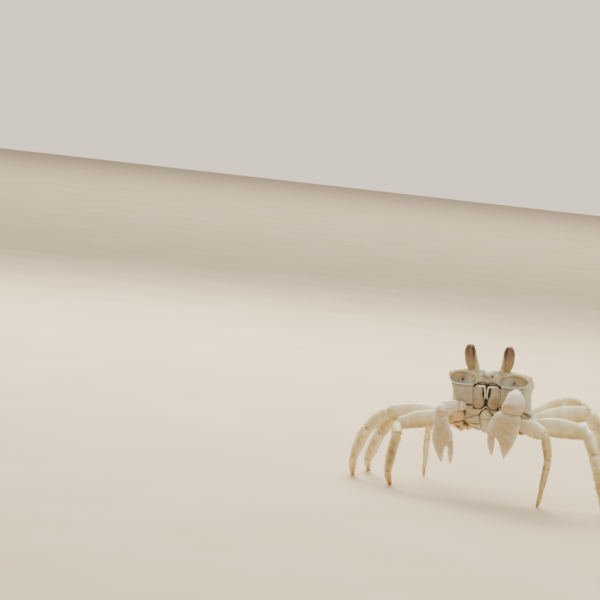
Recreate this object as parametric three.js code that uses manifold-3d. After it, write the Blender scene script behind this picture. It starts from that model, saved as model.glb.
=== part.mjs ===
// A ghost crab (Ocypode) standing on seven feet, with its claws hanging and its eyes raised.
// Millimetres, +Z up. The crab faces -Y, its left side is +X and its feet stand on z = 0.
// The body is made in its own frame (x to its left, y to its back, z up through its back),
// which is then pitched and rolled. Each leg is a chain of lofted segments laid end to end.

import * as THREE from 'three';
import { mergeVertices } from 'three/addons/utils/BufferGeometryUtils.js';
import Module from 'manifold-3d';

const wasm = await Module();
wasm.setup();

// Driving dimensions.

const CARAPACE_WIDTH = 30;
const CARAPACE_LENGTH = 26;
const BODY_HEIGHT = 35.6;
const BODY_PITCH = 26;
const BODY_ROLL = -2.5;
const GAP = 0.3;
const MIN_THICKNESS = 0.6;
const FOOT_HEIGHT = -0.8;
const FAR = 200;

const HALF_WIDTH = CARAPACE_WIDTH / 2;
const HALF_LENGTH = CARAPACE_LENGTH / 2;
const BACK_HEIGHT = 8.5;
const BELLY_DEPTH = 12.2;
const EDGE_BLEND = 0.42;
const SEAM_PLACE = [0, -9, -7];
const SEAM_SLOPE = 10.2;

// Each walking leg: segment lengths, and the greatest depth and thickness of each segment.
const LEG_SIZES = {
  2: { base: 4.5, merus: 20, carpus: 8.5, propodus: 14, dactyl: 10.5, scale: 1 },
  3: { base: 4.5, merus: 24, carpus: 10, propodus: 13.5, dactyl: 11, scale: 1.14 },
  4: { base: 4.5, merus: 23.5, carpus: 10, propodus: 14, dactyl: 12.2, scale: 1.2 },
  5: { base: 4, merus: 16.5, carpus: 7.5, propodus: 11, dactyl: 8.5, scale: 0.76 },
};
const LEG_ROOTS = {
  2: [8.8, -4.2, -8.9],
  3: [9.3, 0.5, -9.6],
  4: [9, 4.9, -9.3],
  5: [8, 9, -8.4],
};

// The stance: [bearing, elevation] in degrees of each segment, along the leg from its root.
// Bearing 0 is straight out to that side and positive is forward. A dactyl has only a bearing
// where it stands on the floor, because its slope then follows from the height of its joint:
// it is aimed at FOOT_HEIGHT, a little below the floor, and the floor cuts its tip flat.
const LEG_POSES = {
  right: {
    2: { base: [30, -18], merus: [2, -15], carpus: [105, -20], propodus: [-30, -79], dactyl: [-88] },
    3: { base: [5, 6], merus: [3, -3], carpus: [44, -40], propodus: [-44, -58], dactyl: [-80] },
    4: { base: [-12, 14], merus: [-6, -1], carpus: [10, -61], propodus: [-50, -51], dactyl: [-80] },
    5: { base: [-24, 18], merus: [-30, -5], carpus: [-66, -58], propodus: [-78, -66], dactyl: [-80] },
  },
  left: {
    2: { base: [20, -30], merus: [52, 0], carpus: [-12, -76], propodus: [-108, -56], dactyl: [-112] },
    3: { base: [0, 4], merus: [15, 2], carpus: [54, -42], propodus: [-16, -74], dactyl: [-80] },
    4: { base: [-22, 26], merus: [-30, 13.4], carpus: [-26, -56], propodus: [-28, -80], dactyl: [-50] },
    5: { base: [-26, 40], merus: [-33, 33], carpus: [-34, -5], propodus: [-16, -42], dactyl: [-20, -72] },
  },
};

const CLAW_ROOT = [8.1, -7, -6.9];

// Each claw: segment lengths and poses as for the legs, then the outlines of its hand, which
// hangs with its edges across the front. Edges are in millimetres from the line from the wrist
// to the tip of the fixed finger, positive towards the midline, where the movable finger is.
const CLAWS = {
  left: {
    base: { length: 3.6, depth: 4.4, width: 4, ends: [0.75, 0.85], pose: [42, 10] },
    merus: { length: 8.6, depth: 5.4, width: 4.6, ends: [0.75, 0.85], pose: [80, 50] },
    carpus: { length: 8.6, depth: 6.4, width: 7.4, ends: [0.72, 1.1], pose: [100, -58] },
    palm: {
      length: 19,
      pose: [-105, -64],
      inner: [[0, 3.5], [0.12, 5.1], [0.23, 6.1], [0.35, 6.7], [0.48, 6.5], [0.6, 3.2], [0.7, 1.9], [1, -0.1]],
      outer: [[0, -4.1], [0.2, -4.45], [0.41, -4.1], [0.65, -3], [0.8, -1.9], [1, -0.5]],
      width: [[0, 3.6], [0.2, 5.2], [0.45, 4.9], [0.65, 3], [1, 1]],
    },
    finger: { length: 10.2, hinge: [8.8, 5.3], slope: -6.5, depth: 2.8, width: 2.3, bow: 0.35 },
  },
  right: {
    base: { length: 3.2, depth: 3.7, width: 3.5, ends: [0.75, 0.85], pose: [46, 0] },
    merus: { length: 5.6, depth: 4.3, width: 3.8, ends: [0.85, 1], pose: [34, -8] },
    carpus: { length: 4.2, depth: 4.6, width: 4.8, ends: [0.95, 0.95], pose: [100, -46] },
    palm: {
      length: 19,
      pose: [-100, -68],
      inner: [[0, 2.3], [0.2, 2.8], [0.36, 3.7], [0.47, 3.8], [0.58, 2.9], [0.67, 0.7], [0.78, 0], [1, -0.8]],
      outer: [[0, -1.9], [0.16, -2.6], [0.4, -3.6], [0.53, -3.8], [0.65, -3.4], [0.85, -2.2], [1, -1.1]],
      width: [[0, 2.6], [0.2, 3.4], [0.45, 3.4], [0.65, 2.1], [1, 0.9]],
    },
    finger: { length: 10, hinge: [9.4, 2.7], slope: -2.5, depth: 2.2, width: 1.8, bow: 0.3 },
  },
};

const EYE_BASE = [4.4, -11.1, 4.3];
const EYE_LEAN_OUT = { left: 1, right: 6 };
const EYESTALK_LENGTH = 10.8;
const CORNEA_SIZE = [4.1, 4.1, 9.6];
const CORNEA_PLACE = [2.55, -0.7, 6.15];

const MOUTHPART_TOP = [2.2, -12, -0.2];
const MOUTHPART_SLOPE = 65;
const MOUTHPART_LENGTH = 8.6;

const ORBIT_PLACE = [8.6, -12.9, 2.5];
const ORBIT_SIZE = [12, 5.6, 4.8];

// The narrow abdomen of a male: half its width at places along the belly, from its tip.
const ABDOMEN_OUTLINE = [
  [-7.4, 0], [-7.1, 1.1], [-6.4, 1.9], [-5.2, 2.3], [-1.6, 2.3], [2, 2.6], [6, 3.6], [10, 4.6], [15, 4.8],
];
const ABDOMEN_RISE = 0.25;
const ABDOMEN_THICKNESS = 0.9;

// Geometry helpers.

const degrees = (angle) => THREE.MathUtils.degToRad(angle);

/** A smooth curve through [position, value] pairs, as a function of position. */
function through(...pairs) {
  const last = pairs.length - 1;
  const slopes = pairs.map((pair, i) => {
    const before = pairs[Math.max(i - 1, 0)];
    const after = pairs[Math.min(i + 1, last)];
    return (after[1] - before[1]) / (after[0] - before[0]);
  });
  return (position) => {
    const found = pairs.findLastIndex(([start]) => start <= position);
    const i = THREE.MathUtils.clamp(found, 0, last - 1);
    const span = pairs[i + 1][0] - pairs[i][0];
    const t = THREE.MathUtils.clamp((position - pairs[i][0]) / span, 0, 1);
    const rise = t * t * (3 - 2 * t);
    const startBend = t * (1 - t) * (1 - t) * span;
    const endBend = t * t * (1 - t) * span;
    return pairs[i][1] + (pairs[i + 1][1] - pairs[i][1]) * rise
      + slopes[i] * startBend - slopes[i + 1] * endBend;
  };
}

/** The largest of several values, with the corner between them rounded over `blend`. */
function smoothMax(values, blend) {
  const peak = Math.max(...values);
  const sum = values.reduce((total, value) => total + Math.exp((value - peak) / blend), 0);
  return peak + blend * Math.log(sum);
}

/** A unit direction from a side, a bearing and an elevation in degrees. */
function heading(side, [bearing, elevation]) {
  const b = degrees(bearing);
  const e = degrees(elevation);
  return new THREE.Vector3(side * Math.cos(b) * Math.cos(e), -Math.sin(b) * Math.cos(e), Math.sin(e));
}

/**
 * A closed body along +X. `top` and `bottom` are the heights of its two edges and `width` its
 * thickness, each a function of the share of the length; `grow` fattens it for use as a cutter.
 */
function loftedGeometry({ length, top, bottom, width, round = 0.12, around = 12, along = 9 }, grow = 0) {
  const geometry = new THREE.SphereGeometry(1, around, along);
  const position = geometry.attributes.position;
  const point = new THREE.Vector3();
  for (let i = 0; i < position.count; i++) {
    point.fromBufferAttribute(position, i);
    const u = THREE.MathUtils.clamp((1 - point.y) / 2, 0, 1);
    const ring = Math.hypot(point.x, point.z);
    const inward = THREE.MathUtils.clamp(Math.min(u, 1 - u) / round, 0, 1);
    const cap = Math.sqrt(1 - (1 - inward) ** 2);
    const radial = ring > 1e-6 ? cap / ring : 0;
    const middle = (top(u) + bottom(u)) / 2;
    const halfDepth = (top(u) - bottom(u)) / 2 + grow;
    const halfWidth = width(u) / 2 + grow;
    position.setXYZ(
      i,
      u * (length + 2 * grow) - grow,
      point.x * radial * halfWidth,
      middle + point.z * radial * halfDepth,
    );
  }
  return geometry;
}

/** The merged, closed shell of a geometry, as a manifold solid. */
function solidFrom(geometry, matrix = new THREE.Matrix4()) {
  const bare = geometry.clone();
  bare.deleteAttribute('normal');
  bare.deleteAttribute('uv');
  const merged = mergeVertices(bare, 1e-5).applyMatrix4(matrix);
  return new wasm.Manifold(new wasm.Mesh({
    numProp: 3,
    vertProperties: new Float32Array(merged.attributes.position.array),
    triVerts: new Uint32Array(merged.index.array),
  }));
}

/** The geometry of a manifold solid. */
function geometryFrom(solid) {
  const mesh = solid.getMesh();
  const geometry = new THREE.BufferGeometry();
  geometry.setAttribute('position', new THREE.BufferAttribute(mesh.vertProperties, 3));
  geometry.setIndex(new THREE.BufferAttribute(mesh.triVerts, 1));
  geometry.computeVertexNormals();
  return geometry;
}

/** The same geometry for the left side, or mirrored in X for the right. */
function forSide(geometry, side) {
  if (side > 0) return geometry;
  geometry.scale(-1, 1, 1);
  const order = geometry.index.array;
  for (let i = 0; i < order.length; i += 3) {
    [order[i], order[i + 1]] = [order[i + 1], order[i]];
  }
  return geometry;
}

const surface = (color, roughness) => () => (
  new THREE.MeshStandardMaterial({ color, roughness, metalness: 0 })
);
const materials = {
  shell: surface(0xcfc3a8, 0.5),
  belly: surface(0xddd6c6, 0.45),
  claw: surface(0xeee6d6, 0.4),
  leg: surface(0xd8c79c, 0.45),
  tip: surface(0xc9ad6e, 0.45),
  cornea: surface(0x6b4a2b, 0.15),
};

function named(name, geometry, look) {
  const mesh = new THREE.Mesh(geometry, look);
  mesh.name = name;
  return mesh;
}

// The body surface: five faces of a rounded box, in the body's own frame.

/** How far a point lies outside the body, in millimetres, below 0 inside it. */
function bodyField(x, y, z) {
  const u = Math.abs(x);
  const across = u / HALF_WIDTH;
  const back = BACK_HEIGHT - 0.0145 * (y - 1) ** 2 - 1.6 * across ** 4;
  const inward = 0.012 + 0.016 * THREE.MathUtils.clamp(-y / 10, 0, 1);
  const flank = HALF_WIDTH - 0.06 * (y + 10) - 0.08 * Math.max(0, y - 3) ** 2
    - inward * Math.max(0, 5 - z) ** 2 - 0.13 * Math.max(0, -5.5 - z) ** 2;
  const brow = HALF_LENGTH - 0.7 + (z < 0 ? 0.5 * z : 0.3 * Math.min(z, 2)) - 2.3 * across ** 4;
  const rear = HALF_LENGTH - 0.035 * (z - 1) ** 2;
  const floor = BELLY_DEPTH - 0.038 * (y - 2) ** 2 - 0.024 * u ** 2;
  return smoothMax([z - back, u - flank, -y - brow, y - rear, -z - floor], EDGE_BLEND);
}

/** The body surface pushed out by `offset`: each point of a box slid along its ray to the field. */
function bodyGeometry(offset, [across, lengthwise, upright]) {
  const reach = [HALF_WIDTH, HALF_LENGTH, (BACK_HEIGHT + BELLY_DEPTH) / 2];
  const geometry = new THREE.BoxGeometry(2, 2, 2, across, lengthwise, upright);
  const position = geometry.attributes.position;
  const centre = -1.5;
  for (let i = 0; i < position.count; i++) {
    const ray = [position.getX(i) * reach[0], position.getY(i) * reach[1], position.getZ(i) * reach[2]];
    let inner = 0;
    let outer = 2;
    for (let step = 0; step < 30; step++) {
      const scale = (inner + outer) / 2;
      const outside = bodyField(ray[0] * scale, ray[1] * scale, centre + ray[2] * scale) > offset;
      if (outside) outer = scale;
      else inner = scale;
    }
    position.setXYZ(i, ray[0] * inner, ray[1] * inner, centre + ray[2] * inner);
  }
  return geometry;
}

/** Half of space below (-1) or above (+1) the seam where the carapace meets the underside. */
function halfSpace(way, clearance) {
  const block = new THREE.BoxGeometry(FAR, FAR, FAR);
  const matrix = new THREE.Matrix4().makeRotationX(degrees(SEAM_SLOPE))
    .setPosition(...SEAM_PLACE)
    .multiply(new THREE.Matrix4().makeTranslation(0, 0, way * (FAR / 2 + clearance)));
  return solidFrom(block, matrix);
}

// The body group and what sits in it.

const crab = new THREE.Group();
const body = new THREE.Group();
body.position.z = BODY_HEIGHT;
body.rotation.order = 'YXZ';
body.rotation.set(-degrees(BODY_PITCH), degrees(BODY_ROLL), 0);
crab.add(body);
crab.updateMatrixWorld(true);

const HANDS = [['left', 1], ['right', -1]];
const cutters = [];

/** Keeps a fattened copy of a mesh, which is then cut out of the body shells. */
function cutLater(mesh, fatGeometry) {
  mesh.updateWorldMatrix(true, false);
  const toBody = new THREE.Matrix4().copy(body.matrixWorld).invert().multiply(mesh.matrixWorld);
  cutters.push(solidFrom(fatGeometry, toBody));
}

function addEyes() {
  for (const [hand, side] of HANDS) {
    const group = new THREE.Group();
    group.position.set(side * EYE_BASE[0], EYE_BASE[1], EYE_BASE[2]);
    group.rotation.set(degrees(BODY_PITCH), side * degrees(EYE_LEAN_OUT[hand]), 0);
    body.add(group);

    const cornea = (grow) => {
      const geometry = new THREE.SphereGeometry(0.5, 12, 8).rotateX(Math.PI / 2);
      geometry.scale(...CORNEA_SIZE.map((size) => size + 2 * grow));
      return geometry.translate(side * CORNEA_PLACE[0], CORNEA_PLACE[1], CORNEA_PLACE[2]);
    };
    const stalk = (grow) => {
      const geometry = loftedGeometry({
        length: EYESTALK_LENGTH,
        top: through([0, 1.3], [0.3, 0.8], [0.6, 0.1], [1, -0.7]),
        bottom: through([0, -1.2], [0.3, -1.3], [1, -2.4]),
        width: through([0, 2.8], [0.4, 2.1], [1, 1.3]),
        along: 7,
      }, grow).rotateY(-Math.PI / 2);
      return forSide(geometry, side);
    };
    const corneaMesh = named(`cornea_${hand}`, cornea(0), materials.cornea());
    const cut = solidFrom(stalk(0)).subtract(solidFrom(cornea(GAP)));
    const stalkMesh = named(`eyestalk_${hand}`, geometryFrom(cut), materials.belly());
    group.add(corneaMesh, stalkMesh);
    cutLater(corneaMesh, cornea(GAP));
    cutLater(stalkMesh, stalk(GAP));
  }
}

/** The plate that closes one half of the mouth frame. */
function addMouthparts() {
  const slope = degrees(MOUTHPART_SLOPE);
  const down = new THREE.Vector3(0, Math.cos(slope), -Math.sin(slope));
  const out = new THREE.Vector3(0, -Math.sin(slope), -Math.cos(slope));
  const aside = new THREE.Vector3().crossVectors(out, down);
  for (const [hand, side] of HANDS) {
    const plate = (grow) => loftedGeometry({
      length: MOUTHPART_LENGTH,
      top: through([0, 0.8], [0.5, 1], [1, 0.8]),
      bottom: through([0, -0.8], [1, -0.8]),
      width: through([0, 3.5], [0.35, 4], [0.75, 4.1], [1, 3.2]),
      round: 0.1,
      around: 12,
      along: 6,
    }, grow);
    const mesh = named(`maxilliped_${hand}`, plate(0), materials.belly());
    new THREE.Matrix4().makeBasis(down, aside, out)
      .setPosition(side * MOUTHPART_TOP[0], MOUTHPART_TOP[1], MOUTHPART_TOP[2])
      .decompose(mesh.position, mesh.quaternion, mesh.scale);
    body.add(mesh);
    cutLater(mesh, plate(GAP));
  }
}

/** The eye sockets, one long hollow each side of the front. */
function orbit(side) {
  const geometry = new THREE.SphereGeometry(0.5, 12, 8);
  geometry.scale(...ORBIT_SIZE);
  geometry.translate(side * ORBIT_PLACE[0], ORBIT_PLACE[1], ORBIT_PLACE[2]);
  return solidFrom(geometry);
}

/** The plan of the abdomen as an upright prism, widened by `grow`. */
function abdomenPrism(grow) {
  const edge = ABDOMEN_OUTLINE.map(([y, half]) => new THREE.Vector2(half + grow, y));
  const tipEnd = new THREE.Vector2(0, ABDOMEN_OUTLINE[0][0] - grow);
  const mirror = edge.slice(1).reverse().map((point) => new THREE.Vector2(-point.x, point.y));
  const shape = new THREE.Shape([tipEnd, ...edge.slice(1), ...mirror]);
  const geometry = new THREE.ExtrudeGeometry(shape, { depth: FAR, bevelEnabled: false });
  return solidFrom(geometry.translate(0, 0, -FAR));
}

function addShells() {
  const whole = solidFrom(bodyGeometry(0, [10, 8, 6]));
  const below = whole.intersect(halfSpace(-1, GAP / 2));
  const raised = solidFrom(bodyGeometry(ABDOMEN_RISE, [6, 9, 5]));
  const core = solidFrom(bodyGeometry(-ABDOMEN_THICKNESS, [5, 7, 4]));
  const innerCore = solidFrom(bodyGeometry(-ABDOMEN_THICKNESS - GAP, [5, 7, 4]));
  const groove = abdomenPrism(GAP).subtract(innerCore);

  let carapace = whole.intersect(halfSpace(1, GAP / 2)).subtract(orbit(1)).subtract(orbit(-1));
  let sternum = below.subtract(groove);
  let abdomen = raised.subtract(core).intersect(abdomenPrism(0)).intersect(halfSpace(-1, GAP / 2));
  for (const cutter of cutters) {
    carapace = carapace.subtract(cutter);
    sternum = sternum.subtract(cutter);
    abdomen = abdomen.subtract(cutter);
  }
  body.add(
    named('carapace', geometryFrom(carapace), materials.shell()),
    named('sternum', geometryFrom(sternum), materials.belly()),
    named('abdomen', geometryFrom(abdomen), materials.belly()),
  );
}

// Legs and claws: chains of segments.

/** The turn that lays +X along `along` and keeps +Y as near `broadside` as it can. */
function segmentTurn(along, broadside) {
  const aside = broadside.clone().addScaledVector(along, -along.dot(broadside)).normalize();
  const upper = new THREE.Vector3().crossVectors(along, aside);
  return new THREE.Quaternion().setFromRotationMatrix(new THREE.Matrix4().makeBasis(along, aside, upper));
}

/** The outline of a plain segment, from its sizes at its two ends and middle. */
function segmentShape(length, depths, widths, bow, along) {
  const depth = through([0, depths[0]], [0.5, depths[1]], [1, depths[2]]);
  const width = through([0, widths[0]], [0.5, widths[1]], [1, widths[2]]);
  const rise = (u) => bow * 4 * u * (1 - u);
  return {
    length: length - GAP,
    top: (u) => rise(u) + depth(u) / 2,
    bottom: (u) => rise(u) - depth(u) / 2,
    width,
    round: 0.06,
    around: 8,
    along,
  };
}

/** Adds one segment from `joint` and returns its mesh; its far joint is `length` further on. */
function addSegment(name, shape, look, joint, along, broadside) {
  const mesh = named(name, loftedGeometry(shape), look);
  mesh.position.copy(joint).addScaledVector(along, GAP / 2);
  mesh.quaternion.copy(segmentTurn(along, broadside));
  crab.add(mesh);
  return mesh;
}

// Depths and thicknesses of a walking leg's segments at start, middle and end.
const LEG_SECTIONS = {
  base: { depths: [4.2, 4.4, 3.6], widths: [3.4, 3.5, 2.6], bow: 0, along: 5, look: 'leg' },
  merus: { depths: [3.4, 6, 4.3], widths: [2.3, 2.9, 2.7], bow: 0.5, along: 7, look: 'leg' },
  carpus: { depths: [3.8, 4.3, 3.6], widths: [2.5, 2.9, 2.5], bow: 0.3, along: 6, look: 'leg' },
  propodus: { depths: [3.5, 3.3, 2.7], widths: [2.4, 2.2, 1.8], bow: 0.3, along: 6, look: 'leg' },
  dactyl: { depths: [2.6, 2.2, 0.7], widths: [1.75, 1.4, 0.65], bow: 0.4, along: 6, look: 'tip' },
};

/** Cuts a solid, given in the crab's frame, out of a mesh. */
function cutFrom(mesh, solid) {
  mesh.updateWorldMatrix(true, false);
  const cut = solidFrom(mesh.geometry, mesh.matrixWorld).subtract(solid);
  mesh.geometry = geometryFrom(cut).applyMatrix4(mesh.matrixWorld.clone().invert());
}

/** Hollows the end of a segment to take the start of the next one. */
function socketFor(mesh, next, nextShape) {
  next.updateWorldMatrix(true, false);
  cutFrom(mesh, solidFrom(loftedGeometry(nextShape, GAP), next.matrixWorld));
}

/** Cuts away what lies below the floor, which leaves a small flat to stand on. */
function standOnFloor(mesh) {
  cutFrom(mesh, solidFrom(new THREE.BoxGeometry(FAR, FAR, FAR).translate(0, 0, -FAR / 2)));
}

function addLeg(hand, side, number) {
  const sizes = LEG_SIZES[number];
  const pose = LEG_POSES[hand][number];
  const [x, y, z] = LEG_ROOTS[number];
  const joint = body.localToWorld(new THREE.Vector3(side * x, y, z));
  const broadside = new THREE.Vector3(0, 0, 1).cross(heading(side, [pose.merus[0], 0]));
  let previous = null;
  for (const [part, section] of Object.entries(LEG_SECTIONS)) {
    const length = sizes[part];
    const angles = [...pose[part]];
    if (angles.length === 1) {
      const drop = (joint.z - FOOT_HEIGHT) / length;
      angles.push(-THREE.MathUtils.radToDeg(Math.asin(drop)));
    }
    const along = heading(side, angles);
    const scaled = (values) => values.map((value) => Math.max(value * sizes.scale, MIN_THICKNESS));
    const depths = scaled(section.depths);
    const widths = scaled(section.widths);
    const shape = segmentShape(length, depths, widths, section.bow, section.along);
    const name = `leg_${number}_${hand}_${part}`;
    const mesh = addSegment(name, shape, materials[section.look](), joint, along, broadside);
    if (previous) socketFor(previous, mesh, shape);
    else cutLater(mesh, loftedGeometry(shape, GAP));
    if (part === 'dactyl') standOnFloor(mesh);
    previous = mesh;
    joint.addScaledVector(along, length);
  }
}

const taper = (size, [start, end]) => [start * size, size, end * size];

function addClaw(hand, side) {
  const parts = CLAWS[hand];
  const joint = body.localToWorld(new THREE.Vector3(side * CLAW_ROOT[0], CLAW_ROOT[1], CLAW_ROOT[2]));
  const broadside = new THREE.Vector3(0, 0, 1).cross(heading(side, [parts.merus.pose[0], 0]));
  let previous = null;
  for (const part of ['base', 'merus', 'carpus']) {
    const { length, depth, width, ends, pose } = parts[part];
    const along = heading(side, pose);
    const shape = segmentShape(length, taper(depth, ends), taper(width, ends), 0, 7);
    shape.round = 0.3;
    shape.around = 10;
    const mesh = addSegment(`claw_${hand}_${part}`, shape, materials.claw(), joint, along, broadside);
    if (previous) socketFor(previous, mesh, shape);
    else cutLater(mesh, loftedGeometry(shape, GAP));
    previous = mesh;
    joint.addScaledVector(along, length);
  }
  addHand(hand, side, parts, joint, previous);
}

/** The hand with its fixed finger, and the movable finger beside it. */
function addHand(hand, side, { palm, finger }, wrist, carpus) {
  const group = new THREE.Group();
  const along = heading(side, palm.pose);
  const inward = new THREE.Vector3(-side, 0, 0);
  group.position.copy(wrist);
  group.quaternion.copy(segmentTurn(along, inward.clone().cross(along)));
  crab.add(group);

  const palmShape = {
    length: palm.length,
    top: through(...palm.inner),
    bottom: through(...palm.outer),
    width: through(...palm.width),
    round: 0.08,
    around: 12,
    along: 11,
  };
  const fingerShape = segmentShape(
    finger.length,
    [finger.depth, 0.85 * finger.depth, 0.3 * finger.depth],
    [finger.width, 0.9 * finger.width, 0.4 * finger.width],
    finger.bow,
    8,
  );
  const fingerMesh = named(`claw_${hand}_finger`, loftedGeometry(fingerShape), materials.claw());
  fingerMesh.position.set(finger.hinge[0], 0, finger.hinge[1]);
  fingerMesh.rotation.y = -degrees(finger.slope);
  fingerMesh.updateMatrix();
  const socket = solidFrom(loftedGeometry(fingerShape, GAP), fingerMesh.matrix);
  const palmSolid = solidFrom(loftedGeometry(palmShape)).subtract(socket);
  const palmMesh = named(`claw_${hand}_palm`, geometryFrom(palmSolid), materials.claw());
  group.add(fingerMesh, palmMesh);
  socketFor(carpus, palmMesh, palmShape);
}

addEyes();
addMouthparts();
for (const [hand, side] of HANDS) {
  addClaw(hand, side);
  for (const number of Object.keys(LEG_ROOTS)) addLeg(hand, side, number);
}
addShells();

// The origin is the middle of the crab's footprint, on the floor.
crab.updateMatrixWorld(true);
const box = new THREE.Box3().setFromObject(crab, true);
const middle = box.getCenter(new THREE.Vector3());
crab.position.set(-middle.x, -middle.y, -box.min.z);

export default crab;
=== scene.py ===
"""A life-size ghost crab on a plain floor: shell, eyes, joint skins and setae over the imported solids.

Lengths are millimetres in the crab's standing frame until `place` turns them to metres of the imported
frame. The crab faces -Y, its left is +X and +Z is up. Its body has a frame of its own, x to its left,
y to its back and z up through its back, which is pitched and rolled.
"""

from math import asin, cos, degrees, radians, sin

import bpy
import numpy as np
from mathutils import Matrix, Vector


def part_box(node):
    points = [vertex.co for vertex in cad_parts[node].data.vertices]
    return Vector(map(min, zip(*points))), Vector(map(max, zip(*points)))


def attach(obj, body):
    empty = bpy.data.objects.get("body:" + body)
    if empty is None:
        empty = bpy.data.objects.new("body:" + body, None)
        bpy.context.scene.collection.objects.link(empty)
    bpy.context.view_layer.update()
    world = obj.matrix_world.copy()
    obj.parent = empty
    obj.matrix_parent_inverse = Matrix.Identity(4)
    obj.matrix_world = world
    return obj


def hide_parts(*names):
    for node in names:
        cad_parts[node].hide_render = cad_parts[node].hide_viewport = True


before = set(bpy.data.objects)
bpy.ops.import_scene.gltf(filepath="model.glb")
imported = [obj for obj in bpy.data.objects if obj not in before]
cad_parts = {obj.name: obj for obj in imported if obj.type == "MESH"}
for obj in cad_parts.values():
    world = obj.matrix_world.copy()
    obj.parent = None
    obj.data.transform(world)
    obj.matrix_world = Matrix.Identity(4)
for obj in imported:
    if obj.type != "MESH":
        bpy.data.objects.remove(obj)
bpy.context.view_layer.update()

# ---------------------------------------------------------------------------------------------
# Driving dimensions, as the solids have them.

MM = 0.001
CARAPACE_WIDTH = 30
CARAPACE_LENGTH = 26
HALF_WIDTH = CARAPACE_WIDTH / 2
HALF_LENGTH = CARAPACE_LENGTH / 2
BACK_HEIGHT = 8.5
BELLY_DEPTH = 12.2
EDGE_BLEND = 0.42
BODY_CENTRE_Z = -1.5
BODY_HEIGHT = 35.6
BODY_PITCH = 26
BODY_ROLL = -2.5
GAP = 0.3
FOOT_HEIGHT = -0.8
SEAM_PLACE = (-9, -7)
SEAM_SLOPE = 10.2

LEG_SIZES = {
    2: {"base": 4.5, "merus": 20, "carpus": 8.5, "propodus": 14, "dactyl": 10.5, "scale": 1},
    3: {"base": 4.5, "merus": 24, "carpus": 10, "propodus": 13.5, "dactyl": 11, "scale": 1.14},
    4: {"base": 4.5, "merus": 23.5, "carpus": 10, "propodus": 14, "dactyl": 12.2, "scale": 1.2},
    5: {"base": 4, "merus": 16.5, "carpus": 7.5, "propodus": 11, "dactyl": 8.5, "scale": 0.76},
}
LEG_ROOTS = {2: (8.8, -4.2, -8.9), 3: (9.3, 0.5, -9.6), 4: (9, 4.9, -9.3), 5: (8, 9, -8.4)}
LEG_PARTS = ("base", "merus", "carpus", "propodus", "dactyl")

# Bearing and elevation in degrees of each segment, in the order of LEG_PARTS. Bearing 0 is straight
# out to that side and positive is forward. A standing dactyl slopes as its joint's height asks.
LEG_POSES = {
    "right": {
        2: ((30, -18), (2, -15), (105, -20), (-30, -79), (-88,)),
        3: ((5, 6), (3, -3), (44, -40), (-44, -58), (-80,)),
        4: ((-12, 14), (-6, -1), (10, -61), (-50, -51), (-80,)),
        5: ((-24, 18), (-30, -5), (-66, -58), (-78, -66), (-80,)),
    },
    "left": {
        2: ((20, -30), (52, 0), (-12, -76), (-108, -56), (-112,)),
        3: ((0, 4), (15, 2), (54, -42), (-16, -74), (-80,)),
        4: ((-22, 26), (-30, 13.4), (-26, -56), (-28, -80), (-50,)),
        5: ((-26, 40), (-33, 33), (-34, -5), (-16, -42), (-20, -72)),
    },
}

# Depths and thicknesses of a segment at its start, middle and end, and how far it bows upwards.
LEG_SECTIONS = {
    "base": ((4.2, 4.4, 3.6), (3.4, 3.5, 2.6), 0),
    "merus": ((3.4, 6, 4.3), (2.3, 2.9, 2.7), 0.5),
    "carpus": ((3.8, 4.3, 3.6), (2.5, 2.9, 2.5), 0.3),
    "propodus": ((3.5, 3.3, 2.7), (2.4, 2.2, 1.8), 0.3),
    "dactyl": ((2.6, 2.2, 0.7), (1.75, 1.4, 0.65), 0.4),
}

CLAW_ROOT = (8.1, -7, -6.9)
CLAWS = {
    "left": {
        "base": {"length": 3.6, "depth": 4.4, "width": 4, "ends": (0.75, 0.85), "pose": (42, 10)},
        "merus": {"length": 8.6, "depth": 5.4, "width": 4.6, "ends": (0.75, 0.85), "pose": (80, 50)},
        "carpus": {
            "length": 8.6, "depth": 6.4, "width": 7.4, "ends": (0.72, 1.1), "pose": (100, -58), "lean": 0.7,
        },
        "palm": {
            "length": 19,
            "pose": (-105, -64),
            "inner": (
                (0, 3.5), (0.12, 5.1), (0.23, 6.1), (0.35, 6.7), (0.48, 6.5), (0.6, 3.2), (0.7, 1.9), (1, -0.1),
            ),
            "outer": ((0, -4.1), (0.2, -4.45), (0.41, -4.1), (0.65, -3), (0.8, -1.9), (1, -0.5)),
            "width": ((0, 3.6), (0.2, 5.2), (0.45, 4.9), (0.65, 3), (1, 1)),
        },
        "finger": {
            "length": 10.2, "hinge": (8.8, 5.3), "slope": -6.5, "depth": 2.8, "width": 2.3, "bow": 0.35,
        },
    },
    "right": {
        "base": {"length": 3.2, "depth": 3.7, "width": 3.5, "ends": (0.75, 0.85), "pose": (46, 0)},
        "merus": {"length": 5.6, "depth": 4.3, "width": 3.8, "ends": (0.85, 1), "pose": (34, -8)},
        "carpus": {"length": 4.2, "depth": 4.6, "width": 4.8, "ends": (0.95, 0.95), "pose": (100, -46)},
        "palm": {
            "length": 19,
            "pose": (-100, -68),
            "inner": (
                (0, 2.3), (0.2, 2.8), (0.36, 3.7), (0.47, 3.8), (0.58, 2.9), (0.67, 0.7), (0.78, 0), (1, -0.8),
            ),
            "outer": (
                (0, -1.9), (0.16, -2.6), (0.4, -3.6), (0.53, -3.8), (0.65, -3.4), (0.85, -2.2), (1, -1.1),
            ),
            "width": ((0, 2.6), (0.2, 3.4), (0.45, 3.4), (0.65, 2.1), (1, 0.9)),
        },
        "finger": {
            "length": 10, "hinge": (9.4, 2.7), "slope": -2.5, "depth": 2.2, "width": 1.8, "bow": 0.3,
        },
    },
}

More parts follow.
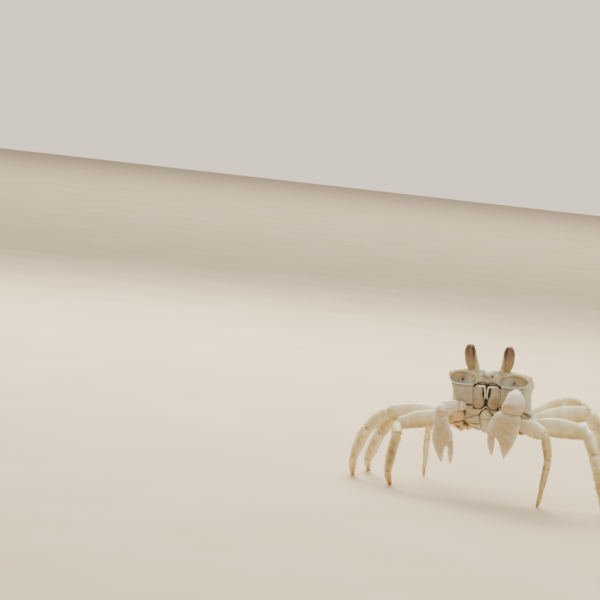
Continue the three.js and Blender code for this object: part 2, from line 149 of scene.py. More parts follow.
EYE_BASE = (4.4, -11.1, 4.3)
EYE_LEAN_OUT = {"left": 1, "right": 6}
EYESTALK_LENGTH = 10.8
CORNEA_LENGTH = 9.6
CORNEA_WIDTH = 4.1
CORNEA_PLACE = (2.55, -0.7, 6.15)
CORNEA_INSET = 0.3

MOUTHPART_TOP = (2.2, -12, -0.2)
MOUTHPART_SLOPE = 65
MOUTHPART_LENGTH = 8.6

# Half the width of a male's narrow abdomen at places along the belly, from its tip.
ABDOMEN_OUTLINE = (
    (-8.05, 0), (-7.8, 1), (-7.1, 1.75), (-6.2, 2.25), (-5, 2.4),
    (-1.6, 2.4), (2, 2.6), (6, 3.6), (10, 4.6), (15, 4.8),
)
ABDOMEN_SUTURES = (-5.0, -1.6, 2.0, 5.2, 8.2, 11)
STERNUM_SUTURES = ((-6.1, 0.08), (-1.85, 0.03), (2.7, 0), (6.95, -0.02))
STERNUM_PITCH = 4.2
SIDES = (("left", 1), ("right", -1))

# ---------------------------------------------------------------------------------------------
# Curves and fields.

TOP_EDGE = np.pi / 2
LOW_EDGE = 3 * np.pi / 2
GRAIN_TILES = 64
GRAIN_STRAY = 0.32
SMALLEST_GRAIN = 0.35
WIDEST_GRAIN = 0.48
FARTHEST_SLIDE = 2.0
SLIDE_STEPS = 26

def through(*pairs):
    """A smooth curve through (position, value) pairs, as a function of an array of positions."""
    place, value = np.array(pairs, float).T
    before = np.clip(np.arange(len(place)) - 1, 0, None)
    after = np.clip(np.arange(len(place)) + 1, None, len(place) - 1)
    slope = (value[after] - value[before]) / (place[after] - place[before])

    def curve(position):
        i = np.clip(np.searchsorted(place, position, side="right") - 1, 0, len(place) - 2)
        span = place[i + 1] - place[i]
        t = np.clip((position - place[i]) / span, 0, 1)
        rise = t * t * (3 - 2 * t)
        bend = slope[i] * t * (1 - t) ** 2 - slope[i + 1] * t * t * (1 - t)
        return value[i] + (value[i + 1] - value[i]) * rise + bend * span

    return curve


def ease(value, start, end):
    """0 before `start` and 1 after `end`, smoothly."""
    t = np.clip((value - start) / (end - start), 0, 1)
    return t * t * (3 - 2 * t)


def hump(value, width):
    """1 at 0, falling away to nothing over about twice `width`."""
    return np.exp(-((value / width) ** 2))


def beading(run, spacing):
    """Evenly spaced beads along `run`, `spacing` apart, as heights from 0 to 1."""
    return 0.5 + 0.5 * np.cos(run * 2 * np.pi / spacing)


def toothing(run, spacing):
    """Blunt teeth along `run` with gaps between them, as heights from 0 to 1."""
    return np.maximum(0, np.cos(run * 2 * np.pi / spacing)) ** 0.7


def angle_from(phi, middle):
    """The unsigned angle between `phi` and `middle`."""
    return np.abs((phi - middle + np.pi) % (2 * np.pi) - np.pi)


def grains(a, b, spacing, seed):
    """Rounded grains scattered over a surface measured by `a` and `b`, as heights from 0 to 1."""
    tiles = GRAIN_TILES
    rng = np.random.default_rng(seed)
    shift = rng.uniform(-GRAIN_STRAY, GRAIN_STRAY, (2, tiles, tiles))
    bulk = rng.uniform(SMALLEST_GRAIN, 1, (tiles, tiles))
    column, row = np.floor(a / spacing).astype(int), np.floor(b / spacing).astype(int)
    height = np.zeros_like(a)
    for i in (-1, 0, 1):
        for j in (-1, 0, 1):
            c, r = (column + i) % tiles, (row + j) % tiles
            far_a = a / spacing - (column + i + 0.5 + shift[0, c, r])
            far_b = b / spacing - (row + j + 0.5 + shift[1, c, r])
            reach = WIDEST_GRAIN * bulk[c, r]
            grain = np.clip(1 - (far_a**2 + far_b**2) / reach**2, 0, 1)
            height = np.maximum(height, grain * bulk[c, r])
    return height


def faces_of_body(x, y, z):
    """How far a point lies outside the back, flank, brow, rear and floor of the body.

    Each is a curved sheet, and its numbers are how fast it bows or leans, as the solids have them.
    """
    u = np.abs(x)
    across = u / HALF_WIDTH
    back = BACK_HEIGHT - 0.0145 * (y - 1) ** 2 - 1.6 * across**4
    inward = 0.012 + 0.016 * np.clip(-y / 10, 0, 1)
    flank = HALF_WIDTH - 0.06 * (y + 10) - 0.08 * np.maximum(0, y - 3) ** 2
    flank = flank - inward * np.maximum(0, 5 - z) ** 2 - 0.13 * np.maximum(0, -5.5 - z) ** 2
    brow = HALF_LENGTH - 0.7 + np.where(z < 0, 0.5 * z, 0.3 * np.minimum(z, 2)) - 2.3 * across**4
    rear = HALF_LENGTH - 0.035 * (z - 1) ** 2
    floor = BELLY_DEPTH - 0.038 * (y - 2) ** 2 - 0.024 * u**2
    return np.stack([z - back, u - flank, -y - brow, y - rear, -z - floor])


def body_field(point):
    """How far a point lies outside the body, in millimetres, below 0 inside it."""
    sides = faces_of_body(*point)
    peak = sides.max(axis=0)
    return peak + EDGE_BLEND * np.log(np.exp((sides - peak) / EDGE_BLEND).sum(axis=0))


def slide_to_body(start, ray, offset=0.0):
    """Points slid from `start` along `ray` until they lie `offset` outside the body."""
    inner = np.zeros(ray.shape[1])
    outer = np.full(ray.shape[1], FARTHEST_SLIDE)
    for _ in range(SLIDE_STEPS):
        middle = (inner + outer) / 2
        outside = body_field(start + ray * middle) > offset
        outer = np.where(outside, middle, outer)
        inner = np.where(outside, inner, middle)
    return start + ray * inner


def body_normal(point):
    """The unit ways out of the body at points, from its slope over a small step."""
    step = 0.05
    slope = [
        body_field(point + step * axis[:, None]) - body_field(point - step * axis[:, None])
        for axis in np.eye(3)
    ]
    return np.array(slope) / np.linalg.norm(slope, axis=0)


def turn(axis, angle):
    """The columns of a turn by `angle` degrees about an axis."""
    return np.array(Matrix.Rotation(radians(angle), 3, axis))


def seam_height(y, z):
    """How far a point of the body lies above the seam of the carapace and the underside."""
    slope = radians(SEAM_SLOPE)
    return (z - SEAM_PLACE[1]) * cos(slope) - (y - SEAM_PLACE[0]) * sin(slope)


# ---------------------------------------------------------------------------------------------
# Frames: the body's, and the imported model's.

BODY_TURN = turn("Y", BODY_ROLL) @ turn("X", -BODY_PITCH)


def from_body(point):
    """A point or points of the body's frame in the standing frame."""
    lift = np.array([0, 0, BODY_HEIGHT])
    moved = BODY_TURN @ np.asarray(point, float)
    return moved + (lift if moved.ndim == 1 else lift[:, None])


def eye_frame(hand, side):
    """Where an eyestalk starts and the columns of its turn, z up along the eye."""
    origin = from_body((side * EYE_BASE[0], EYE_BASE[1], EYE_BASE[2]))
    return origin, BODY_TURN @ turn("X", BODY_PITCH) @ turn("Y", side * EYE_LEAN_OUT[hand])


def packed_shift():
    """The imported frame's origin is the middle of the footprint: how far that moves the crab."""
    low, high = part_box("cornea_left")
    origin, axes = eye_frame("left", 1)
    centre = origin + axes @ np.array(CORNEA_PLACE)
    return (np.array(low) + np.array(high)) / 2 / MM - centre


SHIFT = packed_shift()


def place(points):
    """Standing millimetres, one column each, as rows of packed metres."""
    return ((points + SHIFT[:, None]) * MM).T


# ---------------------------------------------------------------------------------------------
# Finishes. A shell piece carries shares per point: `tint` from its palest to its deepest colour,
# a share of painted shade, with some dark sand, in its grooves, seams and hollows, `accent` where warm
# pigment shows, and a share of white on its ridges, edges and tips, partly pale shell and partly
# painted highlight.


def hex_colour(code):
    """An sRGB hex colour as linear red, green, blue and alpha."""
    parts = [int(code[i : i + 2], 16) / 255 for i in (1, 3, 5)]
    return (*[p / 12.92 if p <= 0.04045 else ((p + 0.055) / 1.055) ** 2.4 for p in parts], 1.0)


def per_mm(size):
    """The scale of a pattern whose features are `size` millimetres across."""
    return 1 / (size * MM)


def add(tree, kind, settings=None, links=None):
    """Adds a node; settings go to its inputs by name or number, or else to its properties."""
    node = tree.nodes.new(kind)
    for key, value in (settings or {}).items():
        if key == "stops":
            while len(node.color_ramp.elements) < len(value):
                node.color_ramp.elements.new(0.5)
            for stop, (position, code) in zip(node.color_ramp.elements, value):
                stop.position = position
                stop.color = hex_colour(code)
        elif isinstance(key, int) or key in node.inputs:
            node.inputs[key].default_value = value
        else:
            setattr(node, key, value)
    for key, socket in (links or {}).items():
        tree.links.new(socket, node.inputs[key])
    return node


def new_finish(name):
    """An empty material and its node tree."""
    material = bpy.data.materials.new(name)
    material.use_nodes = True
    material.node_tree.nodes.clear()
    return material, material.node_tree


def finished(material, shader):
    """The material with its surface made by `shader`."""
    add(material.node_tree, "ShaderNodeOutputMaterial", links={"Surface": shader.outputs["BSDF"]})
    return material


def clouded_colour(tree, spot, stops, cloud_mm, detail, sway):
    """The colour of the piece's tint, swayed up and down in clouds of that size, and the clouds."""
    tint = add(tree, "ShaderNodeAttribute", {"attribute_name": "tint"}).outputs["Fac"]
    cloud = add(tree, "ShaderNodeTexNoise", {"Scale": per_mm(cloud_mm), "Detail": detail}, {"Vector": spot})
    swing = add(
        tree, "ShaderNodeMapRange", {"From Min": 0.3, "From Max": 0.7, "To Min": -sway, "To Max": sway},
        {"Value": cloud.outputs["Fac"]},
    )
    level = add(tree, "ShaderNodeMath", {"operation": "ADD"}, {0: tint, 1: swing.outputs["Result"]})
    colour = add(tree, "ShaderNodeValToRGB", {"stops": stops}, {"Fac": level.outputs["Value"]})
    return colour.outputs["Color"], cloud.outputs["Fac"]


def chitin(
    name, stops, *, grime, freckle, cloud_mm, grain_mm, roughness, glow, bump=0.3, accent="#B98A50",
    freckle_mm=0.7, chalk="#F3F1E6",
):
    """Calcified chitin as it hardened after a moult: satin, faintly waxy and a little translucent.

    `stops` run from the palest to the deepest tint, and freckles are pigment cells in the skin
    under the shell. The eye sees clouded colour, fine grain and soft light through thin edges.
    """
    material, tree = new_finish(name)
    spot = add(tree, "ShaderNodeTexCoord").outputs["Object"]
    colour, cloud = clouded_colour(tree, spot, stops, cloud_mm, 4, 0.16)

    speckle = add(
        tree, "ShaderNodeTexNoise", {"Scale": per_mm(freckle_mm), "Detail": 2, "Roughness": 0.7}, {"Vector": spot},
    )
    speckled = add(
        tree, "ShaderNodeMapRange", {"From Min": 0.54, "From Max": 0.68, "To Max": freckle[1]},
        {"Value": speckle.outputs["Fac"]},
    )
    layers = [(freckle[0], speckled.outputs["Result"])]
    for code, share in ((accent, "accent"), (chalk, "chalk"), (grime, "grime")):
        layers.append((code, add(tree, "ShaderNodeAttribute", {"attribute_name": share}).outputs["Fac"]))
    for code, amount in layers:
        layer = add(tree, "ShaderNodeMix", {"data_type": "RGBA", 7: hex_colour(code)}, {0: amount, 6: colour})
        colour = layer.outputs[2]

    grain = add(tree, "ShaderNodeTexVoronoi", {"Scale": per_mm(grain_mm)}, {"Vector": spot})
    pits = add(tree, "ShaderNodeTexNoise", {"Scale": per_mm(grain_mm * 0.6), "Detail": 3}, {"Vector": spot})
    relief = add(
        tree, "ShaderNodeMath", {"operation": "SUBTRACT"},
        {0: pits.outputs["Fac"], 1: grain.outputs["Distance"]},
    )
    rough = add(
        tree, "ShaderNodeMapRange", {"To Min": roughness - 0.08, "To Max": roughness + 0.14}, {"Value": cloud},
    )
    raised = add(
        tree, "ShaderNodeBump", {"Strength": bump, "Distance": grain_mm * 0.25 * MM},
        {"Height": relief.outputs["Value"]},
    )
    shader = add(
        tree, "ShaderNodeBsdfPrincipled",
        {
            "IOR": 1.52,
            "Subsurface Weight": glow,
            "Subsurface Radius": (1.0, 0.72, 0.45),
            "Subsurface Scale": 1.1 * MM,
            "Coat Weight": 0.12,
            "Coat Roughness": 0.25,
        },
        {
            "Base Color": colour,
            "Roughness": rough.outputs["Result"],
            "Normal": raised.outputs["Normal"],
        },
    )
    return finished(material, shader)


def carapace_finish():
    """Sand-coloured back shell, speckled as the beach is, paling to grey-green white on the face."""
    stops = ((0, "#D6D5C6"), (0.35, "#BAB7A2"), (0.7, "#A89E82"), (1, "#8F8060"))
    return chitin(
        "sand_freckled_chitin", stops, grime="#3A2D1F", freckle=("#7C705A", 0.35), cloud_mm=3, grain_mm=0.3,
        roughness=0.46, glow=0.12, accent="#CBB67C",
    )


def underside_finish():
    """Thin pale plates of the underside and mouth, smooth from the mould of the old shell."""
    stops = ((0, "#DEDACA"), (0.4, "#C2B79C"), (0.75, "#A8977A"), (1, "#8E7752"))
    return chitin(
        "pale_plate_chitin", stops, grime="#3A2A19", freckle=("#8E7F63", 0.25), cloud_mm=2.4, grain_mm=0.24,
        roughness=0.42, glow=0.16,
    )


def claw_finish():
    """Thick claw shell, white at its edges and tips, partly as painted highlight, and tanned over its broad faces,
    partly as painted shade.
    """
    stops = ((0, "#F3F0E6"), (0.35, "#D9CDB4"), (0.7, "#BFAD8C"), (1, "#A58C66"))
    return chitin(
        "chalky_claw_chitin", stops, grime="#5A4327", freckle=("#B39F7A", 0.25), cloud_mm=2.2, grain_mm=0.34,
        roughness=0.44, glow=0.16, accent="#B98F48",
    )


def leg_finish():
    """Thin leg shell over muscle: white along the upper edge, partly as painted highlight, straw and ochre where
    light gets in.
    """
    stops = ((0, "#FBF9EC"), (0.3, "#EAE1BD"), (0.6, "#D0BE88"), (1, "#8A7548"))
    return chitin(
        "straw_leg_chitin", stops, grime="#4B3822", freckle=("#94866A", 0.25), cloud_mm=3, grain_mm=0.26,
        roughness=0.54, glow=0.35,
    )


def toe_finish():
    """Horn-hard end segments, worn smooth by sand, so they shine a little more."""
    stops = ((0, "#EADFBD"), (0.4, "#CDB27A"), (0.8, "#B18B4C"), (1, "#8B6230"))
    return chitin(
        "horn_yellow_chitin", stops, grime="#4B341D", freckle=("#A08256", 0.2), cloud_mm=1.6, grain_mm=0.2,
        roughness=0.36, glow=0.3, bump=0.18,
    )


def stalk_finish():
    """Eyestalk shell, thin, pale and nearly smooth."""
    stops = ((0, "#E6DFC8"), (0.5, "#C4B88E"), (1, "#9C8450"))
    return chitin(
        "cream_stalk_chitin", stops, grime="#5B452B", freckle=("#B3A078", 0.25), cloud_mm=1.5, grain_mm=0.2,
        roughness=0.38, glow=0.2, bump=0.15,
    )


def joint_skin_finish():
    """Uncalcified joint skin, folded and damp, dull straw with a little ochre where it bunches."""
    material, tree = new_finish("damp_joint_skin")
    spot = add(tree, "ShaderNodeTexCoord").outputs["Object"]
    fold = add(tree, "ShaderNodeTexNoise", {"Scale": per_mm(0.6), "Detail": 3}, {"Vector": spot})
    stops = ((0.3, "#A8946A"), (0.55, "#C6B58C"), (0.75, "#D9CFAE"))
    colour = add(tree, "ShaderNodeValToRGB", {"stops": stops}, {"Fac": fold.outputs["Fac"]})
    creased = add(
        tree, "ShaderNodeBump", {"Strength": 0.5, "Distance": 0.1 * MM}, {"Height": fold.outputs["Fac"]},
    )
    shader = add(
        tree, "ShaderNodeBsdfPrincipled",
        {"Roughness": 0.38, "IOR": 1.45, "Subsurface Weight": 0.3, "Subsurface Scale": 0.9 * MM},
        {"Base Color": colour.outputs["Color"], "Normal": creased.outputs["Normal"]},
    )
    return finished(material, shader)


def cornea_finish():
    """Clear faceted cornea over dark pigment: wet gloss, brown above and ochre below.

    The facets are 0.04 mm across on the animal and are drawn at 0.22 mm so that they show.
    """
    material, tree = new_finish("faceted_cornea")
    spot = add(tree, "ShaderNodeTexCoord").outputs["Object"]
    stops = ((0, "#BBAA8A"), (0.25, "#96805F"), (0.6, "#7A5E48"), (0.85, "#624736"), (1, "#1B110D"))
    colour, _ = clouded_colour(tree, spot, stops, 1.2, 3, 0.09)
    facet = add(tree, "ShaderNodeTexVoronoi", {"Scale": per_mm(0.22)}, {"Vector": spot})
    domed = add(
        tree, "ShaderNodeBump", {"Strength": 0.12, "Distance": 0.03 * MM, "invert": True},
        {"Height": facet.outputs["Distance"]},
    )
    shader = add(
        tree, "ShaderNodeBsdfPrincipled",
        {
            "Roughness": 0.24,
            "IOR": 1.45,
            "Coat Weight": 0.35,
            "Coat Roughness": 0.12,
            "Subsurface Weight": 0.1,
            "Subsurface Scale": 0.6 * MM,
        },
        {"Base Color": colour, "Normal": domed.outputs["Normal"]},
    )
    return finished(material, shader)


def setae_finish():
    """Stiff horny hairs, straw at the tip and rust-brown at the root, each a thin glossy spine."""
    material, tree = new_finish("rust_setae")
    tint = add(tree, "ShaderNodeAttribute", {"attribute_name": "tint"}).outputs["Fac"]
    stops = ((0, "#5E3A1B"), (0.5, "#A56F35"), (1, "#D9B57C"))
    colour = add(tree, "ShaderNodeValToRGB", {"stops": stops}, {"Fac": tint})
    shader = add(
        tree, "ShaderNodeBsdfPrincipled",
        {"Roughness": 0.45, "IOR": 1.54, "Subsurface Weight": 0.1, "Subsurface Scale": 0.3 * MM},
        {"Base Color": colour.outputs["Color"]},
    )
    return finished(material, shader)


def floor_finish():
    """Matt painted board, warm and pale, with a breath of unevenness so that it isn't dead flat."""
    material, tree = new_finish("matt_pale_board")
    spot = add(tree, "ShaderNodeTexCoord").outputs["Object"]
    wash = add(tree, "ShaderNodeTexNoise", {"Scale": per_mm(60), "Detail": 3}, {"Vector": spot})
    stops = ((0.3, "#C9B99F"), (0.7, "#D3C4AB"))
    colour = add(tree, "ShaderNodeValToRGB", {"stops": stops}, {"Fac": wash.outputs["Fac"]})
    shader = add(tree, "ShaderNodeBsdfPrincipled", {"Roughness": 0.85}, {"Base Color": colour.outputs["Color"]})
    return finished(material, shader)


# Each finish and the record's material slot listed beside it; the slot is not used.
FINISHES = {
    "carapace": (carapace_finish(), "shell"),
    "underside": (underside_finish(), "belly"),
    "claw": (claw_finish(), "claw"),
    "leg": (leg_finish(), "leg"),
    "toe": (toe_finish(), "tip"),
    "stalk": (stalk_finish(), "belly"),
    "joint skin": (joint_skin_finish(), "belly"),
    "cornea": (cornea_finish(), "cornea"),
    "setae": (setae_finish(), "tip"),
}

# ---------------------------------------------------------------------------------------------
# Making pieces. A shape is (points, faces, shares): points in one column each, and shares with one
# value per point.

SHARES = ("tint", "grime", "accent", "chalk")


def piece(name, shape, finish, nodes=()):
    """A visible piece of the crab from a shape in the standing frame."""
    points, faces, shares = shape
    mesh = bpy.data.meshes.new(name)
    mesh.from_pydata(place(points).tolist(), [], faces)
    mesh.polygons.foreach_set("use_smooth", [True] * len(mesh.polygons))
    for share, values in shares.items():
        layer = mesh.attributes.new(share, "FLOAT", "POINT")
        layer.data.foreach_set("value", np.clip(values, 0, 1).astype(np.float32))
    material, slot = FINISHES[finish]
    mesh.materials.append(material)
    made = bpy.data.objects.new(name, mesh)
    bpy.context.scene.collection.objects.link(made)
    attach(made, "root")
    if nodes:
        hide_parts(*nodes)
    return made


def joined(shapes):
    """Several shapes as one, which may hold separate shells."""
    points = np.concatenate([shape[0] for shape in shapes], axis=1)
    faces = []
    start = 0
    for shape in shapes:
        faces += [[corner + start for corner in face] for face in shape[1]]
        start += shape[0].shape[1]
    names = shapes[0][2]
    return points, faces, {name: np.concatenate([shape[2][name] for shape in shapes]) for name in names}


def moved(shape, axes, origin):
    """A shape turned by the columns of `axes` and set down at `origin`."""
    points, faces, shares = shape
    if np.linalg.det(axes) < 0:
        faces = [face[::-1] for face in faces]
    return axes @ points + np.asarray(origin, float)[:, None], faces, shares


def grid_faces(rows, columns, closed):
    """Quads of a grid of points stored row by row; `closed` joins its last column to its first."""
    faces = []
    for row in range(rows - 1):
        for column in range(columns if closed else columns - 1):
            beside = (column + 1) % columns
            a, b = row * columns + column, row * columns + beside
            faces.append([a, b, b + columns, a + columns])
    return faces


def loft(
    length, top, bottom, width, *, around=36, along=48, rounding=0.06, edge=1.0,
    sway=None, relief=None, shares=None,
):
    """A closed body along +X, `top` and `bottom` its two edges and `width` its thickness.

    `edge` above 1 pinches the two edges to keels, and `sway` bends the body sideways along its
    length. `relief(u, phi)` is added outwards, and `shares(u, phi)` gives the shares of tint, painted
    shade and grime, accent, and white that is partly painted highlight, as many as it needs, with phi
    a quarter turn at the top edge.
    """
    steps = np.arange(1, along) / along
    u_rows = 0.5 - 0.5 * np.cos(np.pi * steps)
    u, phi = np.meshgrid(u_rows, np.arange(around) / around * 2 * np.pi, indexing="ij")
    u, phi = u.ravel(), phi.ravel()
    cap = np.sqrt(1 - (1 - np.clip(np.minimum(u, 1 - u) / rounding, 0, 1)) ** 2)
    side, up = np.cos(phi), np.sin(phi)
    bulge = relief(u, phi) * cap if relief else 0
    middle = (top(u) + bottom(u)) / 2
    bend = sway or np.zeros_like
    y = bend(u) + cap * width(u) / 2 * np.sign(side) * np.abs(side) ** edge + bulge * side
    z = middle + cap * (top(u) - bottom(u)) / 2 * up + bulge * up
    ends = np.array([0.0, 1.0])
    rings = np.stack([u * length, y, z])
    poles = np.stack([ends * length, bend(ends), (top(ends) + bottom(ends)) / 2])
    points = np.concatenate([rings, poles], axis=1)
    faces = [face[::-1] for face in grid_faces(along - 1, around, True)]
    first, last = rings.shape[1], rings.shape[1] + 1
    start = (along - 2) * around
    for column in range(around):
        beside = (column + 1) % around
        faces.append([first, beside, column])
        faces.append([last, start + column, start + beside])
    u_all = np.concatenate([u, ends])
    phi_all = np.concatenate([phi, [0, 0]])
    found = shares(u_all, phi_all) if shares else (0.4 + 0 * u_all,)
    found = [*found, *[0 * u_all] * (len(SHARES) - len(found))]
    return points, faces, dict(zip(SHARES, found))


def edges_of(depths, widths, bow):
    """The top, bottom and thickness of a plain segment along its length."""
    depth = through((0, depths[0]), (0.5, depths[1]), (1, depths[2]))
    width = through((0, widths[0]), (0.5, widths[1]), (1, widths[2]))
    return (
        lambda u: bow * 4 * u * (1 - u) + depth(u) / 2,
        lambda u: bow * 4 * u * (1 - u) - depth(u) / 2,
        width,
    )


def segment_axes(along, broadside):
    """Columns that lay +X along `along` and keep +Y as near `broadside` as they can."""
    aside = broadside - along * (along @ broadside)
    aside = aside / np.linalg.norm(aside)
    return np.stack([along, aside, np.cross(along, aside)], axis=1)


def slab(outer, inner, columns, shares):
    """A closed plate between two grids of points stored row by row."""
    count = outer.shape[1]
    rows = count // columns
    faces = grid_faces(rows, columns, False)
    under = [[corner + count for corner in face[::-1]] for face in faces]
    last_row = (rows - 1) * columns
    rim = list(range(columns))
    rim += [row * columns + columns - 1 for row in range(1, rows)]
    rim += [last_row + column for column in range(columns - 2, -1, -1)]
    rim += [row * columns for row in range(rows - 2, 0, -1)]
    sides = []
    for here, there in zip(rim, rim[1:] + rim[:1]):
        sides.append([there, here, here + count, there + count])
    doubled = {name: np.concatenate([values, values]) for name, values in shares.items()}
    return np.concatenate([outer, inner], axis=1), faces + under + sides, doubled


def box_grid(across, lengthwise, upright):
    """The points of a box's surface on an even grid from -1 to 1, and its quads facing out."""
    counts = np.array([across, lengthwise, upright])
    index = {}
    faces = []
    for axis in range(3):
        b, c = [a for a in range(3) if a != axis]
        for level in (0, counts[axis]):
            outward = (level > 0) != (axis == 1)
            for i in range(counts[b]):
                for j in range(counts[c]):
                    quad = []
                    for di, dj in ((0, 0), (1, 0), (1, 1), (0, 1)):
                        key = [0, 0, 0]
                        key[axis], key[b], key[c] = int(level), i + di, j + dj
                        quad.append(index.setdefault(tuple(key), len(index)))
                    faces.append(quad if outward else quad[::-1])
    return np.array(list(index)).T / counts[:, None] * 2 - 1, faces


# ---------------------------------------------------------------------------------------------
# The body: a back shell and an underside, each the whole body surface, sunk out of sight past
# the seam so that the two meet in a fine groove.

CARAPACE_MESH = (140, 120, 96)
UNDERSIDE_MESH = (110, 100, 60)
ORBIT_MIDDLE = (9.1, 1.85)
ORBIT_REACH = (5.2, 2.0)
ORBIT_DEPTH = 1.8
MOUTH_HALF_WIDTH = 4.95
MOUTH_TOP = 0.3
MOUTH_BOTTOM = -8.0
MOUTH_DEPTH = 1.5
SEAM_SINK = 1.3
SEAM_HALF_GAP = 0.22

# Soft round marks of the face: their places out from the midline and in height, and their spreads.
FACE_MARKS = {
    "ball": ((9.2, 1.35), (1.9, 0.95)),  # the swelling on a socket's floor
    "pit": ((9.4, 1.75), (0.36, 0.5)),  # the dark dimple in it
    "notch": ((4.8, 4.7), (0.9, 1.0)),  # the dip of the top edge over a stalk's foot
    "lobe": ((0, 3.95), (1.5, 1.0)),  # the blunt snout between the stalks
    "shoulder": ((2.9, 3.4), (0.45, 0.45)),  # the small swelling on each side of it
    "stalk seat": ((4.2, 2.5), (0.9, 1.7)),
    "orbit floor": ((9.4, 1.3), (2, 1)),
}

# The small spine at a socket's outer corner, in the body's frame.
CORNER_SPINE = (14.6, -9.9, 4.0)


def orbit_share(u, z):
    """0 in the middle of an eye socket and 1 at its margin, whose upper side arches."""
    middle = ORBIT_MIDDLE[1] + 0.08 * (u - ORBIT_MIDDLE[0])
    arch = 1 + 0.22 * hump(u - 9.6, 3) * ease(z - middle, 0, 1)
    return (np.abs((u - ORBIT_MIDDLE[0]) / ORBIT_REACH[0]) ** 2.5
            + np.abs((z - middle) / ORBIT_REACH[1] / arch) ** 2.2) ** (1 / 2.35)


def mouth_floor(x):
    """How low the mouth frame reaches, less low at the midline, where the breast comes to a point."""
    return MOUTH_BOTTOM + 1.1 * hump(x, 1.1)


def face_relief(x, y, z):
    """What the front of the body adds outwards and what it sinks, with its shares and its extent."""
    u = np.abs(x)
    mark = {}
    for name, (spot, spread) in FACE_MARKS.items():
        mark[name] = hump(u - spot[0], spread[0]) * hump(z - spot[1], spread[1])

    front = ease(-y, 6.5, 8.5) * ease(faces_of_body(x, y, z)[1], 0.0, -0.45)
    share = orbit_share(u, z)
    lower = ease(ORBIT_MIDDLE[1] - z, -0.4, 0.5)
    beads = 0.4 + 0.6 * beading(u, 0.72)
    low_rim = hump(share - 1.09, 0.085) * lower * ease(u, 3.4, 4.4)
    top_rim = hump(share - 1.12, 0.13) * (1 - lower) * ease(u, 5, 6.5)
    under_rim = hump(share - 1.3, 0.085) * lower * ease(u, 4.2, 5) * ease(z + 2.2, 0, 1)
    socket = ORBIT_DEPTH * np.clip(1 - share**2.4, 0, 1) ** 0.6 * ease(u, 4.0, 5.8)

    band = hump(z - 5.3, 0.6) * ease(4 - u, 0, 0.8)
    antennule = hump(u - 1.1 - 0.3 * (z - 2.4), 0.62) * hump(z - 2.4 - 0.2 * u, 0.42)
    epistome = ease(3.6 - u, 0, 0.5) * hump(z - 1.25, 0.45)
    lip = hump(z - 0.45 - 0.3 * hump(u - 1.7, 0.9) + 0.25 * hump(x, 0.5), 0.19) * ease(4.0 - u, 0, 0.5)

    half = MOUTH_HALF_WIDTH - 0.05 * np.clip(-z - 3, 0, 6)
    in_mouth = ease(half - u, -0.15, 0.15) * ease(MOUTH_TOP - z, -0.1, 0.1)
    in_mouth = in_mouth * ease(z - mouth_floor(x), -0.15, 0.15)
    mouth_rim = hump(u - half - 0.45, 0.3) * ease(0.5 - z, 0, 0.6) * ease(z + 8.6, 0, 0.6)

    cheek = ease(u, 5.6, 6.4) * ease(14.4 - u, 0, 1.2)
    fold = hump(z + 1.3 - 0.05 * (u - 9), 0.13) * cheek
    suture = hump(z + 3.4 + 0.3 * (u - 8), 0.15) * cheek
    spine = hump(u - CORNER_SPINE[0], 1.0) * hump(y - CORNER_SPINE[1], 0.9) * hump(z - CORNER_SPINE[2], 0.9)

    raised = front * (
        0.4 * low_rim * beads + 0.32 * top_rim + 0.3 * epistome + 0.28 * mouth_rim + 0.3 * mark["shoulder"]
        - 0.22 * under_rim - 0.12 * fold - 0.1 * suture
    ) + 0.5 * spine
    sunk = front * (
        socket - 0.8 * mark["ball"] * (share < 1) + 0.6 * mark["pit"] - 0.85 * mark["lobe"]
        + 1.1 * antennule + 0.6 * lip + MOUTH_DEPTH * in_mouth
    ) + 0.7 * mark["notch"]

    inside = ease(1.0 - share, 0, 0.15)
    upper = ease(z - 2.1, 0, 0.8)
    outer = ease(u, 8.5, 12.5)
    brow = ease(share, 0.94, 1.06) * ease(z - 2.6, 0, 1) * ease(u, 5.5, 7)
    accent = inside * upper * (0.35 + 0.55 * outer) + 0.3 * inside * (1 - upper) * hump(u - 12, 1.5)
    accent = np.clip(accent + 0.75 * mark["stalk seat"] + 0.7 * brow, 0, 1)
    # The snout and its shoulders are painted white as a highlight, and the socket rims and the band above the
    # snout pale, partly as a highlight.
    chalk = 0.85 * low_rim + 0.3 * top_rim + mark["lobe"] + 0.8 * mark["shoulder"] + 0.6 * band
    chalk = chalk + 0.45 * inside * hump(u - 6.8, 1.4)
    # Painted shade darkens the mouth, the feeler sockets, the lip, under the lower rim, the creases, the ring
    # round the snout and the sockets.
    around_lobe = hump(np.hypot(x / 2.1, (z - 3.9) / 1.5) - 1, 0.16)
    socket_shade = 0.18 + 0.35 * hump(share - 0.9, 0.12) + 0.3 * mark["orbit floor"]
    grime = (
        in_mouth + 1.1 * antennule + lip + 0.6 * under_rim + 0.35 * fold + 0.25 * suture + mark["pit"]
        + 0.2 * around_lobe + inside * socket_shade
    )
    # The face darkens towards the bottom, and the upper inside of each socket is painted darker as shade under the
    # brow.
    tint = 0.44 + 0.14 * ease(-z, 0, 6) + 0.25 * inside * upper
    return raised, sunk, {"front": front, "tint": tint, "grime": grime, "accent": accent, "chalk": chalk}


def flank_swelling(y, z):
    """How far the flank swells low down and hollows under its upper edge and behind the face."""
    swell = hump(z + 5.5, 3.8) * hump(y - 1, 7)
    under_edge = hump(z - 4, 4) * hump(y - 2, 7)
    behind_face = ease(2.5 - z, 0, 3) * hump(y + 11, 5)
    return 1.7 * swell - 1.1 * under_edge - 1.2 * behind_face


